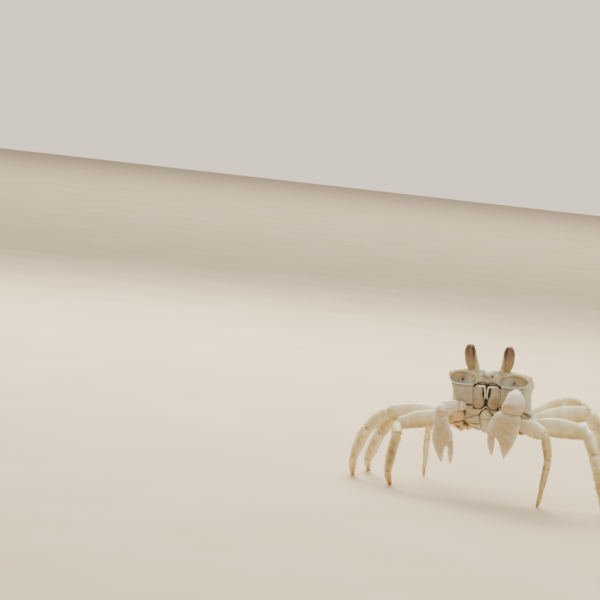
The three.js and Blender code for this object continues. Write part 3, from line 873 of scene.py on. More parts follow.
def back_relief(x, y, z, sides):
    """What the back shell adds outwards, and its shares of groove, beaded edge and upper side."""
    u = np.abs(x)
    top = ease(sides[0], -1.2, -0.1)
    swelling = 0.4 * hump(u - 8.6, 3.6) * hump(y - 2, 5.5) + 0.4 * hump(x, 4) * hump(y + 4.5, 3.4)
    swelling = swelling + 0.32 * hump(x, 2.3) * hump(y - 5.4, 2.4)
    stem = hump(u - 2.9 - 0.03 * (y - 3) ** 2, 0.34) * ease(y, -2.4, -0.8) * ease(8.6 - y, 0, 1.6)
    bar = hump(y - 1.6 - 0.05 * x**2, 0.32) * ease(3.3 - u, 0, 0.6)
    neck = hump(y + 1.9 + 0.42 * (u - 3), 0.42) * ease(u, 3.1, 4.2) * ease(10 - u, 0, 2.5)
    rear_bar = hump(y - 10.6, 0.35) * ease(9.5 - u, 0, 1.5)
    groove = np.clip(stem + 0.8 * bar + 0.7 * neck + 0.6 * rear_bar, 0, 1)
    grain = grains(x, y, 0.62, 3) * (0.5 + 0.5 * ease(u, 5, 12)) * (1 - groove)
    edge = hump(sides[0] - sides[1], 0.45) * ease(10 - y, 0, 3) * ease(sides[0], -1.5, -0.4)
    raised = top * (swelling - 0.32 * groove + 0.13 * grain)
    raised = raised + 0.26 * edge * beading(y, 0.7) * ease(-sides[4], 3, 6)
    flank = ease(sides[1], -1, -0.1)
    flank_grain = grains(y, z, 0.6, 5) * flank * ease(y, -9, -7)
    return raised + 0.07 * flank_grain + flank_swelling(y, z) * flank, top * groove, edge, top


def body_shape(counts):
    """Points of the whole body surface, the way there from its middle, and the faces between them."""
    grid, faces = box_grid(*counts)
    reach = np.array([HALF_WIDTH, HALF_LENGTH, (BACK_HEIGHT + BELLY_DEPTH) / 2])
    start = np.array([[0.0], [0.0], [BODY_CENTRE_Z]])
    ray = grid * reach[:, None]
    point = slide_to_body(start, ray)
    return point, ray / np.linalg.norm(ray, axis=0), faces


def add_carapace():
    """The back shell and face, one skin over the whole upper body."""
    point, ray, faces = body_shape(CARAPACE_MESH)
    normal = body_normal(point)
    x, y, z = point
    sides = faces_of_body(x, y, z)
    face_raised, sunk, face = face_relief(x, y, z)
    back_raised, groove, edge, top = back_relief(x, y, z, sides)
    hidden = ease(SEAM_HALF_GAP - seam_height(y, z), -0.12, 0.3)
    shown = point + normal * (face_raised + back_raised) * (1 - hidden)
    shown = shown - ray * SEAM_SINK * hidden
    shown[1] += sunk * (1 - hidden)
    front = face["front"]
    blotch = grains(x + 7, y, 2.3, 8)
    # The back's grooves and the hidden seam are painted dark as shade, and the beaded side edge is painted paler,
    # partly as a highlight.
    side_tint = 0.22 + 0.38 * top + 0.18 * top * blotch - 0.12 * edge
    shares = {
        "tint": side_tint * (1 - front) + face["tint"] * front,
        "grime": np.clip(0.55 * groove + front * face["grime"], 0, 1) * (1 - hidden) + hidden,
        "accent": front * face["accent"],
        "chalk": front * face["chalk"] + 0.35 * edge,
    }
    piece("carapace_shell", (from_body(shown), faces, shares), "carapace", ["carapace"])


abdomen_half_width = through(*ABDOMEN_OUTLINE)


def add_underside():
    """The sternal plates, one to each pair of legs, around the trough of the abdomen."""
    point, ray, faces = body_shape(UNDERSIDE_MESH)
    normal = body_normal(point)
    x, y, z = point
    u = np.abs(x)
    below = ease(faces_of_body(x, y, z)[4], -1.6, -0.3)
    half = abdomen_half_width(y)
    run = np.clip(u - 2.2, 0, 6)
    suture = sum(hump(y - at - 0.2 * run - bend * run**2, 0.24) for at, bend in STERNUM_SUTURES)
    suture = suture * ease(u - half, 0.1, 0.5)
    between = 1 - 2 * beading(y - STERNUM_SUTURES[0][0], STERNUM_PITCH)
    plate = 0.3 * between * ease(u - half, 0.4, 1.6)
    trough = ease(half + 0.45 - u, -0.15, 0.15) * ease(y + 8.45, 0, 0.25)
    lip = hump(u - half - 0.8, 0.35) * ease(3 - y, 0, 4)
    raised = below * (0.5 * plate * ease(9 - u, 0, 2) - 0.35 * suture + 0.2 * lip)
    above_seam = seam_height(y, z)
    hidden = ease(above_seam + SEAM_HALF_GAP, -0.12, 0.3)
    in_mouth = ease(4.9 - u, -0.2, 0.2) * ease(z - mouth_floor(x), -0.15, 0.15) * ease(-y, 5, 6)
    shown = point + normal * raised * (1 - hidden)
    sink = SEAM_SINK * (1 + ease(above_seam, 1, 3))
    trough_front = ease(-y, 4.8, 6)
    trough_depth = 0.4 + 0.5 * trough_front
    shown = shown - ray * (sink * np.maximum(hidden, in_mouth) + trough_depth * below * trough * (1 - hidden))
    tint = 0.5 + 0.2 * ease(u, 5, 11) - 0.15 * lip + 0.1 * (1 - below)
    trough_shade = 0.25 + 0.65 * trough_front
    # Painted shade darkens the sutures, the abdomen's trough, the hidden seam and the mouth.
    grime = below * (0.7 * suture + trough_shade * trough) + 0.9 * hidden + in_mouth
    piece("underside_plates", (from_body(shown), faces, {"tint": tint, "grime": grime}), "underside", ["sternum"])


# The abdomen runs round the body's middle between two angles, from its tip to its root.
ABDOMEN_MESH = (190, 40)
ABDOMEN_SWING = (-141, -8)
ABDOMEN_THICKNESS = 0.8


def add_abdomen():
    """The narrow tail folded under the belly and up the rear, in segments that overlap."""
    rows, columns = ABDOMEN_MESH
    swings = np.radians(np.linspace(*ABDOMEN_SWING, rows))
    swing, share = [grid.ravel() for grid in np.meshgrid(swings, np.linspace(-1, 1, columns), indexing="ij")]
    out = np.stack([0 * swing, np.cos(swing), np.sin(swing)])
    ray = out * HALF_WIDTH
    start = np.zeros_like(ray)
    start[2] = BODY_CENTRE_Z
    spine = slide_to_body(start, ray)
    y = np.maximum.accumulate(spine[1, ::columns])
    steps = np.linalg.norm(np.diff(spine[:, ::columns], axis=1), axis=0)
    run = np.concatenate([[0], steps.cumsum()])
    half = np.maximum(abdomen_half_width(np.repeat(y, columns)) - 0.12, 0.03)
    start[0] = share * half
    skin = slide_to_body(start, ray)
    place_along = np.repeat(run, columns)
    sutures = np.interp(ABDOMEN_SUTURES, y, run)
    seam = sum(hump(place_along - at, 0.18) for at in sutures)
    step = sum(0.2 * ease(place_along - at, -2.4, -0.1) * (place_along < at) for at in sutures[:4])
    raised = 0.2 + step - 0.22 * seam + 0.3 * (1 - share**2) - 0.25 * np.abs(share) ** 8
    # The seams between the segments are painted dark as shade.
    shares = {"tint": 0.22 + 0.35 * np.abs(share) ** 3, "grime": 0.85 * seam}
    under = from_body(skin - out * ABDOMEN_THICKNESS)
    shape = slab(from_body(skin + out * raised), under, columns, shares)
    piece("folded_abdomen", shape, "underside", ["abdomen"])


# ---------------------------------------------------------------------------------------------
# Setae: thin three-sided spines, each with its own small patch on the map of the skin below.

# A spine's rings from root to tip: how far up they lie, their share of its girth and their corners.
HAIR_RINGS = ((-0.08, 1.0, 3), (0.5, 0.75, 3), (1.0, 0.0, 1))
HAIR_CORNERS = sum(corners for _, _, corners in HAIR_RINGS)
HAIR_STRAY = 0.16
HAIR_LENGTHS = (0.6, 1.1)
HAIR_CLEARANCE = 0.02
MAP_PATCH = 0.0015
MAP_MARGIN = 0.05


def hairs(roots, lean, length, thickness, spots, seed):
    """Spines from `roots` along `lean`, one column each; `spots` are their places on the map."""
    rng = np.random.default_rng(seed)
    count = roots.shape[1]
    lean = lean + rng.normal(0, HAIR_STRAY, lean.shape)
    lean = lean / np.linalg.norm(lean, axis=0)
    lengths = length * rng.uniform(*HAIR_LENGTHS, count)
    helper = np.where(np.abs(lean[2]) < 0.9, np.array([[0.0], [0], [1]]), np.array([[1.0], [0], [0]]))
    aside = np.cross(lean, helper, axis=0)
    aside = aside / np.linalg.norm(aside, axis=0)
    across = np.cross(lean, aside, axis=0)
    points, tints, maps = [], [], []
    for level, girth, corners in HAIR_RINGS:
        middle = roots + lean * lengths * level
        for corner in range(corners):
            angle = corner * 2 * np.pi / 3
            way = np.array([[np.cos(angle)], [np.sin(angle)]])
            points.append(middle + (aside * way[0] + across * way[1]) * thickness / 2 * girth)
            tints.append(np.full(count, max(level, 0)))
            maps.append(spots + MAP_PATCH * girth * way)
    faces = []
    for at in range(0, count * HAIR_CORNERS, HAIR_CORNERS):
        faces.append([at + 2, at + 1, at])
        for corner in range(3):
            beside = (corner + 1) % 3
            faces.append([at + corner, at + beside, at + 3 + beside, at + 3 + corner])
            faces.append([at + 3 + corner, at + 3 + beside, at + 6])
    in_order = [np.stack(part, axis=-1).reshape(*part[0].shape[:-1], -1) for part in (points, tints, maps)]
    return in_order[0], faces, {"tint": in_order[1], "map_u": in_order[2][0], "map_v": in_order[2][1]}


def on_map(shares):
    """Shares from 0 to 1 as places on the map, clear of its margins."""
    return MAP_MARGIN + shares * (1 - 2 * MAP_MARGIN)


def add_hairs(name, tufts):
    """A piece of setae from several calls of `hairs`, with its places on the map as a UV layer."""
    points, faces, shares = joined(tufts)
    points[2] = np.maximum(points[2], HAIR_CLEARANCE)
    spots = np.stack([shares.pop("map_u"), shares.pop("map_v")], axis=1)
    made = piece(name, (points, faces, shares), "setae")
    layer = made.data.uv_layers.new(name="OFBake")
    corners = np.empty(len(made.data.loops), np.int32)
    made.data.loops.foreach_get("vertex_index", corners)
    layer.data.foreach_set("uv", np.clip(spots[corners], 0, 1).ravel().astype(np.float32))


# ---------------------------------------------------------------------------------------------
# Eyes, mouthparts and feelers.

# How far the stalk's foot runs on down into the inner corner of its socket, and where round the
# cornea its dark upright slit stands.
EYE_FOOT = 2.6
EYE_SLIT_ANGLE = {"left": 158, "right": 134}
STALK_FOLD = 0.3


def add_eyes():
    """Each eye: a long cornea that wraps the outer side of its stalk."""
    for hand, side in SIDES:
        origin, axes = eye_frame(hand, side)
        upright = np.stack([axes[:, 2], axes[:, 1], -side * axes[:, 0]], axis=1)
        slit_at = radians(EYE_SLIT_ANGLE[hand])

        def cornea_shares(u, phi):
            slit = hump(angle_from(phi, slit_at), 0.15) * hump(u - 0.62, 0.17) ** 0.5
            crown = 0.22 * ease(u, 0.72, 0.95) * (0.75 + 0.25 * np.cos(5 * phi))
            foot = 0.3 * hump(u, 0.05)
            return (0.3 + 0.34 * ease(u, 0.3, 0.85) + crown - foot + 0.6 * slit,)

        cornea = loft(
            CORNEA_LENGTH,
            through((0, 1.6), (0.3, 2.05), (0.7, 2.15), (1, 1.9)),
            through((0, -1.6), (0.3, -2.0), (0.7, -2.15), (1, -1.9)),
            through((0, 3.2), (0.3, 4), (0.7, CORNEA_WIDTH), (1, 3.9)),
            around=72, along=72, rounding=0.36, shares=cornea_shares,
        )
        inset = side * (CORNEA_PLACE[0] - CORNEA_INSET)
        low = np.array([inset, CORNEA_PLACE[1], CORNEA_PLACE[2] - CORNEA_LENGTH / 2])
        piece(f"cornea_{hand}", moved(cornea, upright, origin + axes @ low), "cornea", [f"cornea_{hand}"])

        def stalk_fold(u, phi):
            return -0.1 * hump(u - STALK_FOLD, 0.03)

        def stalk_shares(u, phi):
            tint = 0.5 + 0.15 * ease(0.4 - u, 0, 0.3) + 0.2 * ease(u, 0.4, 0.9)
            # The fold is painted dark as shade in its crease.
            return tint, 0.2 * hump(u - STALK_FOLD, 0.03)

        stalk = loft(
            EYESTALK_LENGTH + EYE_FOOT,
            through((0, 1.5), (0.2, 1.5), (0.32, 0.9), (0.5, 0.4), (0.7, -0.1), (1, -0.9)),
            through((0, -2.4), (0.2, -2.2), (0.34, -1.3), (0.5, -1.3), (1, -2.3)),
            through((0, 2.6), (0.2, 2.9), (0.36, 2.2), (0.55, 1.7), (1, 1.2)),
            along=72, rounding=0.04, sway=through((0, 2.6), (0.1, 1.7), (0.2, 0.75), (0.34, 0), (1, 0)),
            relief=stalk_fold, shares=stalk_shares,
        )
        foot = np.array([0, 0, -EYE_FOOT])
        piece(f"eyestalk_{hand}", moved(stalk, upright, origin + axes @ foot), "stalk", [f"eyestalk_{hand}"])


def mouth_axes():
    """The columns of the outer mouthparts' turn: down their length, across, and out of the face."""
    slope = radians(MOUTHPART_SLOPE)
    down = np.array([0, cos(slope), -sin(slope)])
    out = np.array([0, -sin(slope), -cos(slope)])
    return np.stack([down, np.cross(out, down), out], axis=1)


# How far the plate's inner and outer edges stand from the midline along its length, and the palp's
# way over it: places down the plate and from the midline, with the girth there.
PLATE_INNER = ((0, 1.8), (0.08, 1.5), (0.45, 1.42), (0.6, 0.75), (0.78, 0.6), (0.9, 1.1), (1, 1.9))
PLATE_OUTER = ((0, 4.0), (0.1, 4.35), (0.5, 4.45), (0.8, 4.4), (0.92, 4.2), (1, 3.8))
PALP_WAY = ((0.7, 2.9, 0.55), (0.4, 1.8, 0.6), (0.6, 0.7, 0.6), (2.7, 0.42, 0.56), (4.7, 0.42, 0.36))

# A palp's limbs run on past their stretches by this share, and each dips further in than the last.
PALP_LAP = 1.18
PALP_SINK = 0.12

# The slim rod down the outer side of each mouthpart, and its place on the plate.
ROD_LENGTH = 6.8
ROD_PLACE = (0.9, 2.45, -0.15)


def plate_split(u, across, width):
    """The slanting line between a plate's two parts."""
    return hump(u - 0.6 - 0.09 * across, width)


def palp_of(axes, origin, inner):
    """The palp's limbs, each laid along one stretch of its way."""
    shapes = []
    for number, (here, there) in enumerate(zip(PALP_WAY, PALP_WAY[1:])):
        start = np.array([here[0], inner * (MOUTHPART_TOP[0] - here[1]), 1.0])
        end = np.array([there[0], inner * (MOUTHPART_TOP[0] - there[1]), 1.0 - PALP_SINK * number])
        length = np.linalg.norm(end - start)
        girth, next_girth = here[2], there[2]
        limb = loft(
            length * PALP_LAP, through((0, girth * 0.55), (1, next_girth * 0.5)),
            through((0, -girth * 0.9), (1, -next_girth * 0.9)), through((0, girth), (1, next_girth)),
            around=20, along=22, rounding=0.25,
            shares=lambda u, phi: (0.1 + 0 * u, 0.25 * hump(u, 0.05), 0 * u, 0.55 + 0 * u),
        )
        turned = axes @ segment_axes((end - start) / length, np.array([0.05, 1.0, 0.0]) * inner)
        shapes.append(moved(limb, turned, origin + axes @ start))
    return shapes


def add_mouthparts():
    """Each outer mouthpart: a plate in two parts, a hooked palp at the midline and an outer rod."""
    axes = BODY_TURN @ mouth_axes()
    inner_edge, outer_edge = through(*PLATE_INNER), through(*PLATE_OUTER)
    for hand, side in SIDES:
        origin = from_body((side * MOUTHPART_TOP[0], MOUTHPART_TOP[1], MOUTHPART_TOP[2]))
        inner = -side * np.sign(axes[0, 1])

        def plate_relief(u, phi):
            across = np.cos(phi) * inner
            front = ease(np.sin(phi), 0, 0.5)
            furrow = hump(across + 0.25, 0.2) * ease(u, 0.05, 0.2) * ease(0.95 - u, 0, 0.1)
            beads = grains(u * MOUTHPART_LENGTH, across * 2, 0.5, 11)
            return front * (0.05 * beads - 0.14 * plate_split(u, across, 0.02) - 0.16 * furrow)

        def plate_shares(u, phi):
            across = np.cos(phi) * inner
            # The furrow and the split between the plate's parts are painted darker as shade; a band of dark spots
            # lies across the plate.
            spots = hump(u - 0.7, 0.07) * grains(u * 9, across * 2, 0.7, 13)
            margin = ease(np.abs(across), 0.9, 1)
            tint = 0.6 + 0.25 * ease(u, 0.3, 1) + 0.12 * hump(across + 0.25, 0.2) - 0.3 * margin
            grime = 0.22 * plate_split(u, across, 0.018) + 0.6 * spots
            return tint, grime, 0 * u, 0.35 * margin * ease(0.25 - u, 0, 0.2)

        plate = loft(
            MOUTHPART_LENGTH, through((0, 0.8), (0.5, 1.05), (1, 0.7)), through((0, -0.8), (1, -0.8)),
            lambda u: outer_edge(u) - inner_edge(u),
            around=72, along=80, rounding=0.07, edge=0.45,
            sway=lambda u: inner * (MOUTHPART_TOP[0] - (outer_edge(u) + inner_edge(u)) / 2),
            relief=plate_relief, shares=plate_shares,
        )
        rod = loft(
            ROD_LENGTH, through((0, 0.45), (1, 0.3)), through((0, -0.5), (1, -0.5)),
            through((0, 0.6), (0.5, 0.6), (1, 0.4)), around=18, along=30, rounding=0.1,
            shares=lambda u, phi: (0.4 + 0.2 * u, 0.3 * hump(u - 0.2, 0.03)),
        )
        rod_place = np.array(ROD_PLACE) * (1, -inner, 1)
        shapes = [moved(plate, axes, origin), *palp_of(axes, origin, inner)]
        shapes.append(moved(rod, axes, origin + axes @ rod_place))
        piece(f"maxilliped_{hand}", joined(shapes), "underside", [f"maxilliped_{hand}"])


# Feelers on the left of the body: where they start, and each joint's way, length and girth.
FEELERS = {
    "antennule": ((1.5, -12.6, 1.9), (((-0.5, -0.5, 0.5), 1.3, 0.6), ((0.2, -0.3, -1), 1.2, 0.4))),
    "antenna": (
        (3.6, -12.4, 0.9),
        (((0.3, -0.8, 0.2), 0.7, 0.65), ((0.6, -0.4, 0.5), 0.6, 0.45), ((0.8, -0.3, 0.5), 1.1, 0.28)),
    ),
}
FEELER_STEP = 0.96


def feeler(start, joints, side):
    """A jointed feeler from a point of the body's frame, mirrored to its side."""
    shapes = []
    at = np.array(start) * (side, 1, 1)
    for way, length, girth in joints:
        along = np.array(way) * (side, 1, 1) / np.linalg.norm(way)
        limb = loft(
            length, through((0, girth / 2), (1, girth / 3)), through((0, -girth / 2), (1, -girth / 3)),
            through((0, girth), (1, girth * 0.7)), around=12, along=14, rounding=0.12,
            shares=lambda u, phi: (0.5 + 0 * u, 0.4 * hump(u, 0.08)),
        )
        axes = BODY_TURN @ segment_axes(along, np.array([0.0, 1.0, 0.1]))
        shapes.append(moved(limb, axes, from_body(at)))
        at = at + along * length * FEELER_STEP
    return shapes


def add_feelers():
    """Small antennules folded in their sockets and short antennae at the orbits' inner corners."""
    for hand, side in SIDES:
        shapes = []
        for start, joints in FEELERS.values():
            shapes += feeler(start, joints, side)
        piece(f"feelers_{hand}", joined(shapes), "stalk")


# ---------------------------------------------------------------------------------------------
# Limbs: chains of lofted segments laid end to end.


def heading(side, bearing, elevation):
    """A unit way from a side, a bearing and an elevation in degrees."""
    swing, rise = radians(bearing), radians(elevation)
    return np.array([side * cos(swing) * cos(rise), -sin(swing) * cos(rise), sin(rise)])


# The second legs' outer segments are painted darker than the others' as painted shade.
FRONT_LEG_SHADE = 0.22

# Bead spacing in millimetres, the angles of the side keels, and how many ribs run down a dactyl.
LEG_BEADS = 0.75
FRONT_KEEL = 0.35
REAR_KEEL = np.pi - 0.35
DACTYL_RIBS = 6

# How far each segment runs in under the rim of the next.
SEGMENT_LAP = 0.2

# Rows of setae on a segment: the angle round it, how many, and how long.
LEG_SETAE = {
    "base": ((LOW_EDGE, 44, 1.7), (LOW_EDGE - 0.5, 30, 1.4)),
    "merus": ((LOW_EDGE, 26, 0.7), (TOP_EDGE, 14, 0.4)),
    "carpus": ((TOP_EDGE, 16, 0.8), (LOW_EDGE, 10, 0.6)),
    "propodus": ((TOP_EDGE, 34, 1.1), (LOW_EDGE, 34, 1.0), (FRONT_KEEL, 18, 0.7), (REAR_KEEL, 18, 0.7)),
    "dactyl": ((TOP_EDGE, 20, 0.6), (LOW_EDGE, 20, 0.6), (0.0, 14, 0.5), (np.pi, 14, 0.5)),
}
LEG_SETA_THICKNESS = 0.11

# Where along a segment its rows start and end, and how far they stray round it.
ROW_ENDS = (0.06, 0.9)
ROW_STRAY = 0.1


def leg_detail(part, length, seed, shade):
    """The relief of a walking leg's segment and its shares, its outer segments darkened by the painted shade
    `shade`.
    """

    def relief(u, phi):
        upper, lower = angle_from(phi, TOP_EDGE), angle_from(phi, LOW_EDGE)
        beads = beading(u * length, LEG_BEADS)
        collar = 0.08 * hump(u - 0.95, 0.03) - 0.1 * hump(u - 0.05, 0.025)
        if part == "merus":
            rasp = grains(u * length, phi * 1.6, 0.55, seed)
            return 0.1 * beads * (hump(upper, 0.16) + hump(lower, 0.2)) + 0.06 * rasp + collar
        if part in ("carpus", "propodus"):
            keel = sum(hump(angle_from(phi, at), 0.2) for at in (FRONT_KEEL, REAR_KEEL, TOP_EDGE))
            rasp = grains(u * length, phi * 1.3, 0.5, seed)
            return 0.12 * keel * (0.6 + 0.4 * beads) + 0.04 * rasp + collar
        if part == "dactyl":
            ribs = np.cos(DACTYL_RIBS * phi)
            return 0.06 * ribs * ease(u, 0.03, 0.2) * ease(1 - u, 0.0, 0.25)
        return 0.06 * grains(u * length, phi * 1.8, 0.55, seed) + collar

    def shares(u, phi):
        # Upper edges are painted white and lower sides darker, partly as painted highlight and painted shade.
        height = np.sin(phi)
        broad = ease(np.abs(np.cos(phi)), 0.6, 1.0)
        # The segment's ends are painted dark as shade where they run under the rims, and its pivots carry dark
        # spots.
        grime = 0.18 * hump(u - 1, 0.012) + 0.18 * hump(u, 0.014)
        pivots = hump(u - 0.985, 0.018) + hump(u - 0.02, 0.018)
        grime = grime + 0.4 * pivots * hump(np.abs(np.cos(phi)) - 1, 0.04)
        chalk = 0.55 * ease(height, 0.86, 1)
        if part == "merus":
            tint = 0.42 - 0.16 * height + 0.22 * ease(-height, 0.3, 1) - 0.1 * hump(u - 0.5, 0.3)
        elif part in ("carpus", "propodus"):
            tint = 0.3 + 0.3 * broad * ease(u, 0.05, 0.3) + 0.1 * ease(-height, 0.5, 1) + shade
            chalk = chalk * (0.5 if part == "propodus" else 0.1)
        elif part == "dactyl":
            tint = 0.2 + 0.4 * ease(u, 0.35, 1) - 0.12 * np.cos(DACTYL_RIBS * phi) + 0.8 * shade
            chalk = 0.5 * chalk
        else:
            tint = 0.45 - 0.2 * height
        return tint, grime, 0 * u, chalk

    return relief, shares


# A joint's skin: how long its sleeve is, which way is broadside, and how far it keeps off the floor.
KNOT_LENGTH = 1.4
KNOT_SIDE = (0.02, 0.9, 0.43)
KNOT_CLEARANCE = 0.05


def skin_knot(joint, along, radius, length):
    """The soft folded skin between two segments, a short ribbed sleeve along `along`."""
    sleeve = loft(
        length, through((0, radius * 0.8), (0.5, radius), (1, radius * 0.8)),
        through((0, -radius * 0.8), (0.5, -radius), (1, -radius * 0.8)),
        through((0, radius * 1.1), (0.5, radius * 1.4), (1, radius * 1.1)),
        around=20, along=18, rounding=0.35, relief=lambda u, phi: 0.06 * np.cos(u * 34),
    )
    axes = segment_axes(along, np.array(KNOT_SIDE))
    points, faces, shares = moved(sleeve, axes, joint - along * length / 2)
    points[2] = np.maximum(points[2], KNOT_CLEARANCE)
    return points, faces, shares


def on_loft(length, edges, u, phi):
    """Points and the ways out on a loft at shares `u` of its length and angles `phi`."""
    top, bottom, width = edges
    middle = (top(u) + bottom(u)) / 2
    y = width(u) / 2 * np.cos(phi)
    z = middle + (top(u) - bottom(u)) / 2 * np.sin(phi)
    return np.stack([u * length, y, z]), np.stack([0 * u, np.cos(phi), np.sin(phi)])


def leg_setae(part, edges, length, axes, origin, row, seed):
    """Rows of setae along a segment's edges; `row` is its strip of the leg's map."""
    rng = np.random.default_rng(seed)
    tufts = []
    for edge, count, size in LEG_SETAE[part]:
        u = np.sort(rng.uniform(*ROW_ENDS, count))
        phi = edge + rng.normal(0, ROW_STRAY, count)
        local, out = on_loft(length, edges, u, phi)
        lean = out + np.array([[0.9], [0], [0]])
        roots = axes @ local + origin[:, None]
        strip = (row + phi / (2 * np.pi) % 1) / len(LEG_PARTS)
        spots = on_map(np.stack([u, strip]))
        tufts.append(hairs(roots, axes @ lean, size, LEG_SETA_THICKNESS, spots, seed + int(edge * 10)))
    return tufts


def add_leg(hand, side, number):
    """A walking leg's five segments, laid end to end from its root, with its joint skins and setae."""
    sizes = LEG_SIZES[number]
    pose = LEG_POSES[hand][number]
    x, y, z = LEG_ROOTS[number]
    joint = from_body((side * x, y, z))
    broadside = np.cross([0, 0, 1.0], heading(side, pose[1][0], 0))
    knots, tufts = [], []
    for row, (part, angles) in enumerate(zip(LEG_PARTS, pose)):
        length = sizes[part]
        if len(angles) == 1:
            angles = (angles[0], -degrees(asin((joint[2] - FOOT_HEIGHT) / length)))
        along = heading(side, *angles)
        axes = segment_axes(along, broadside)
        depths, widths, bow = LEG_SECTIONS[part]
        depths, widths = np.array(depths) * sizes["scale"], np.array(widths) * sizes["scale"]
        edges = edges_of(depths, widths, bow)
        seed = number * 10 + row + (side > 0) * 100
        relief, shares = leg_detail(part, length, seed, FRONT_LEG_SHADE if number == 2 else 0)
        lap = 0 if part == "base" else SEGMENT_LAP
        shape = loft(
            length + lap * 2, *edges, around=44, along=int(20 + length * 4),
            edge=1.25 if part == "merus" else 1.0, relief=relief, shares=shares,
        )
        origin = joint - along * lap
        points, faces, values = moved(shape, axes, origin)
        points[2] = np.maximum(points[2], 0)
        name = f"leg_{number}_{hand}_{part}"
        piece(name, (points, faces, values), "toe" if part == "dactyl" else "leg", [name])
        if row:
            knots.append(skin_knot(joint, along, 0.3 * depths[0], KNOT_LENGTH))
        tufts += leg_setae(part, edges, length, axes, origin, row, seed)
        joint = joint + along * length
    piece(f"leg_{number}_{hand}_joint_skin", joined(knots), "joint skin")
    add_hairs(f"leg_{number}_{hand}_setae", tufts)


# ---------------------------------------------------------------------------------------------
# Claws.


def taper(size, ends):
    """A size at a segment's start, middle and end."""
    return (ends[0] * size, size, ends[1] * size)


def claw_arm_detail(part, size, seed, ahead):
    """The relief and shares of a claw arm's segment; `ahead` is the angle that faces forward."""
    length = size["length"]

    def knuckle(u, phi):
        return np.hypot((u - 0.45) * length, angle_from(phi, ahead) * size["width"] / 2)

    def relief(u, phi):
        rasp = grains(u * length, phi * 2.2, 0.6, seed)
        collar = 0.1 * hump(u - 0.93, 0.05) - 0.1 * hump(u - 0.06, 0.03)
        if part == "base":
            away = knuckle(u, phi)
            collar = 0.12 * hump(away - 1.0, 0.4) - 0.1 * hump(away, 0.5)
        return 0.08 * rasp + collar

    def shares(u, phi):
        spread = hump(angle_from(phi, ahead), 0.75)
        if part == "carpus":
            patch = spread * (hump(u - 0.84, 0.09) + 0.5 * hump(u - 0.45, 0.09))
            # The carpus is painted white towards its root, partly as a highlight.
            return 0.2 + 0.3 * ease(u, 0.3, 0.9), 0 * u, 0.6 * patch, 0.55 * (1 - ease(u, 0.1, 0.55))
        if part == "merus":
            return 0.3 + 0 * u, 0.15 * hump(u, 0.03), 0 * u, 0.2 + 0.4 * ease(u, 0.5, 0.9)
        away = knuckle(u, phi)
        return 0.5 + 0 * u, 0.22 * hump(away - 0.1, 0.4), 0 * u, 0.5 * hump(away - 1.0, 0.35)

    return relief, shares


def hand_detail(length, teeth_from, seed):
    """Granules, a beaded outer edge and blunt teeth along the biting edge of a hand."""

    def relief(u, phi):
        inner, outer = angle_from(phi, TOP_EDGE), angle_from(phi, LOW_EDGE)
        bite = ease(u, teeth_from, teeth_from + 0.06) * ease(0.97 - u, 0, 0.08)
        teeth = toothing(u * length, 1.35) * bite
        rasp = grains(u * length, phi * 3, 0.62, seed) * ease(0.95 - u, 0, 0.4)
        crest = hump(outer, 0.14) + hump(inner, 0.14) * (1 - bite)
        return 0.09 * rasp + 0.42 * teeth * hump(inner, 0.45) + 0.14 * beading(u * length, 0.7) * crest

    def shares(u, phi):
        # The broad faces are painted darker, partly as painted shade, and the edges and tips white, partly as a
        # highlight.
        face = ease(np.abs(np.cos(phi)), 0.45, 0.95)
        edge = ease(np.abs(np.sin(phi)), 0.93, 1)
        tint = 0.3 + 0.36 * face * ease(u, 0.02, 0.12) * ease(1.0 - u, 0, 0.4)
        return tint, 0.35 * hump(u, 0.02), 0.2 * hump(u, 0.06), 0.6 * edge + 0.3 * ease(u, 0.75, 1)

    return relief, shares


# How far an arm's segments and the hand run in under one another, and where the teeth start.
ARM_LAP = 0.5
PALM_TEETH_FROM = 0.6
ARM_SEED, PALM_SEED, FINGER_SEED = 30, 41, 43


def add_claw(hand, side):
    """An arm's three segments from its root, then the hand, with the skins of its joints."""
    parts = CLAWS[hand]
    joint = from_body((side * CLAW_ROOT[0], CLAW_ROOT[1], CLAW_ROOT[2]))
    broadside = np.cross([0, 0, 1.0], heading(side, parts["merus"]["pose"][0], 0))
    knots = []
    for seed, part in enumerate(("base", "merus", "carpus")):
        size = parts[part]
        along = heading(side, *size["pose"])
        axes = segment_axes(along, broadside)
        edges = edges_of(taper(size["depth"], size["ends"]), taper(size["width"], size["ends"]), 0)
        ahead = np.arctan2(-axes[1, 2], -axes[1, 1])
        relief, shares = claw_arm_detail(part, size, ARM_SEED + seed, ahead)
        lean = size.get("lean", 0)
        lap = 0 if part == "base" else ARM_LAP
        shape = loft(
            size["length"] + lap * 2, *edges, around=64, along=64,
            rounding=0.3 if part == "carpus" else 0.2,
            sway=lambda u: lean * np.sin(np.pi * u), relief=relief, shares=shares,
        )
        name = f"claw_{hand}_{part}"
        piece(name, moved(shape, axes, joint - along * lap), "claw", [name])
        if part == "merus":
            knots.append(skin_knot(joint, along, 0.24 * size["depth"], KNOT_LENGTH))
        joint = joint + along * size["length"]
    knots.append(add_hand(hand, side, parts["palm"], parts["finger"], joint))
    piece(f"claw_{hand}_joint_skin", joined(knots), "joint skin")


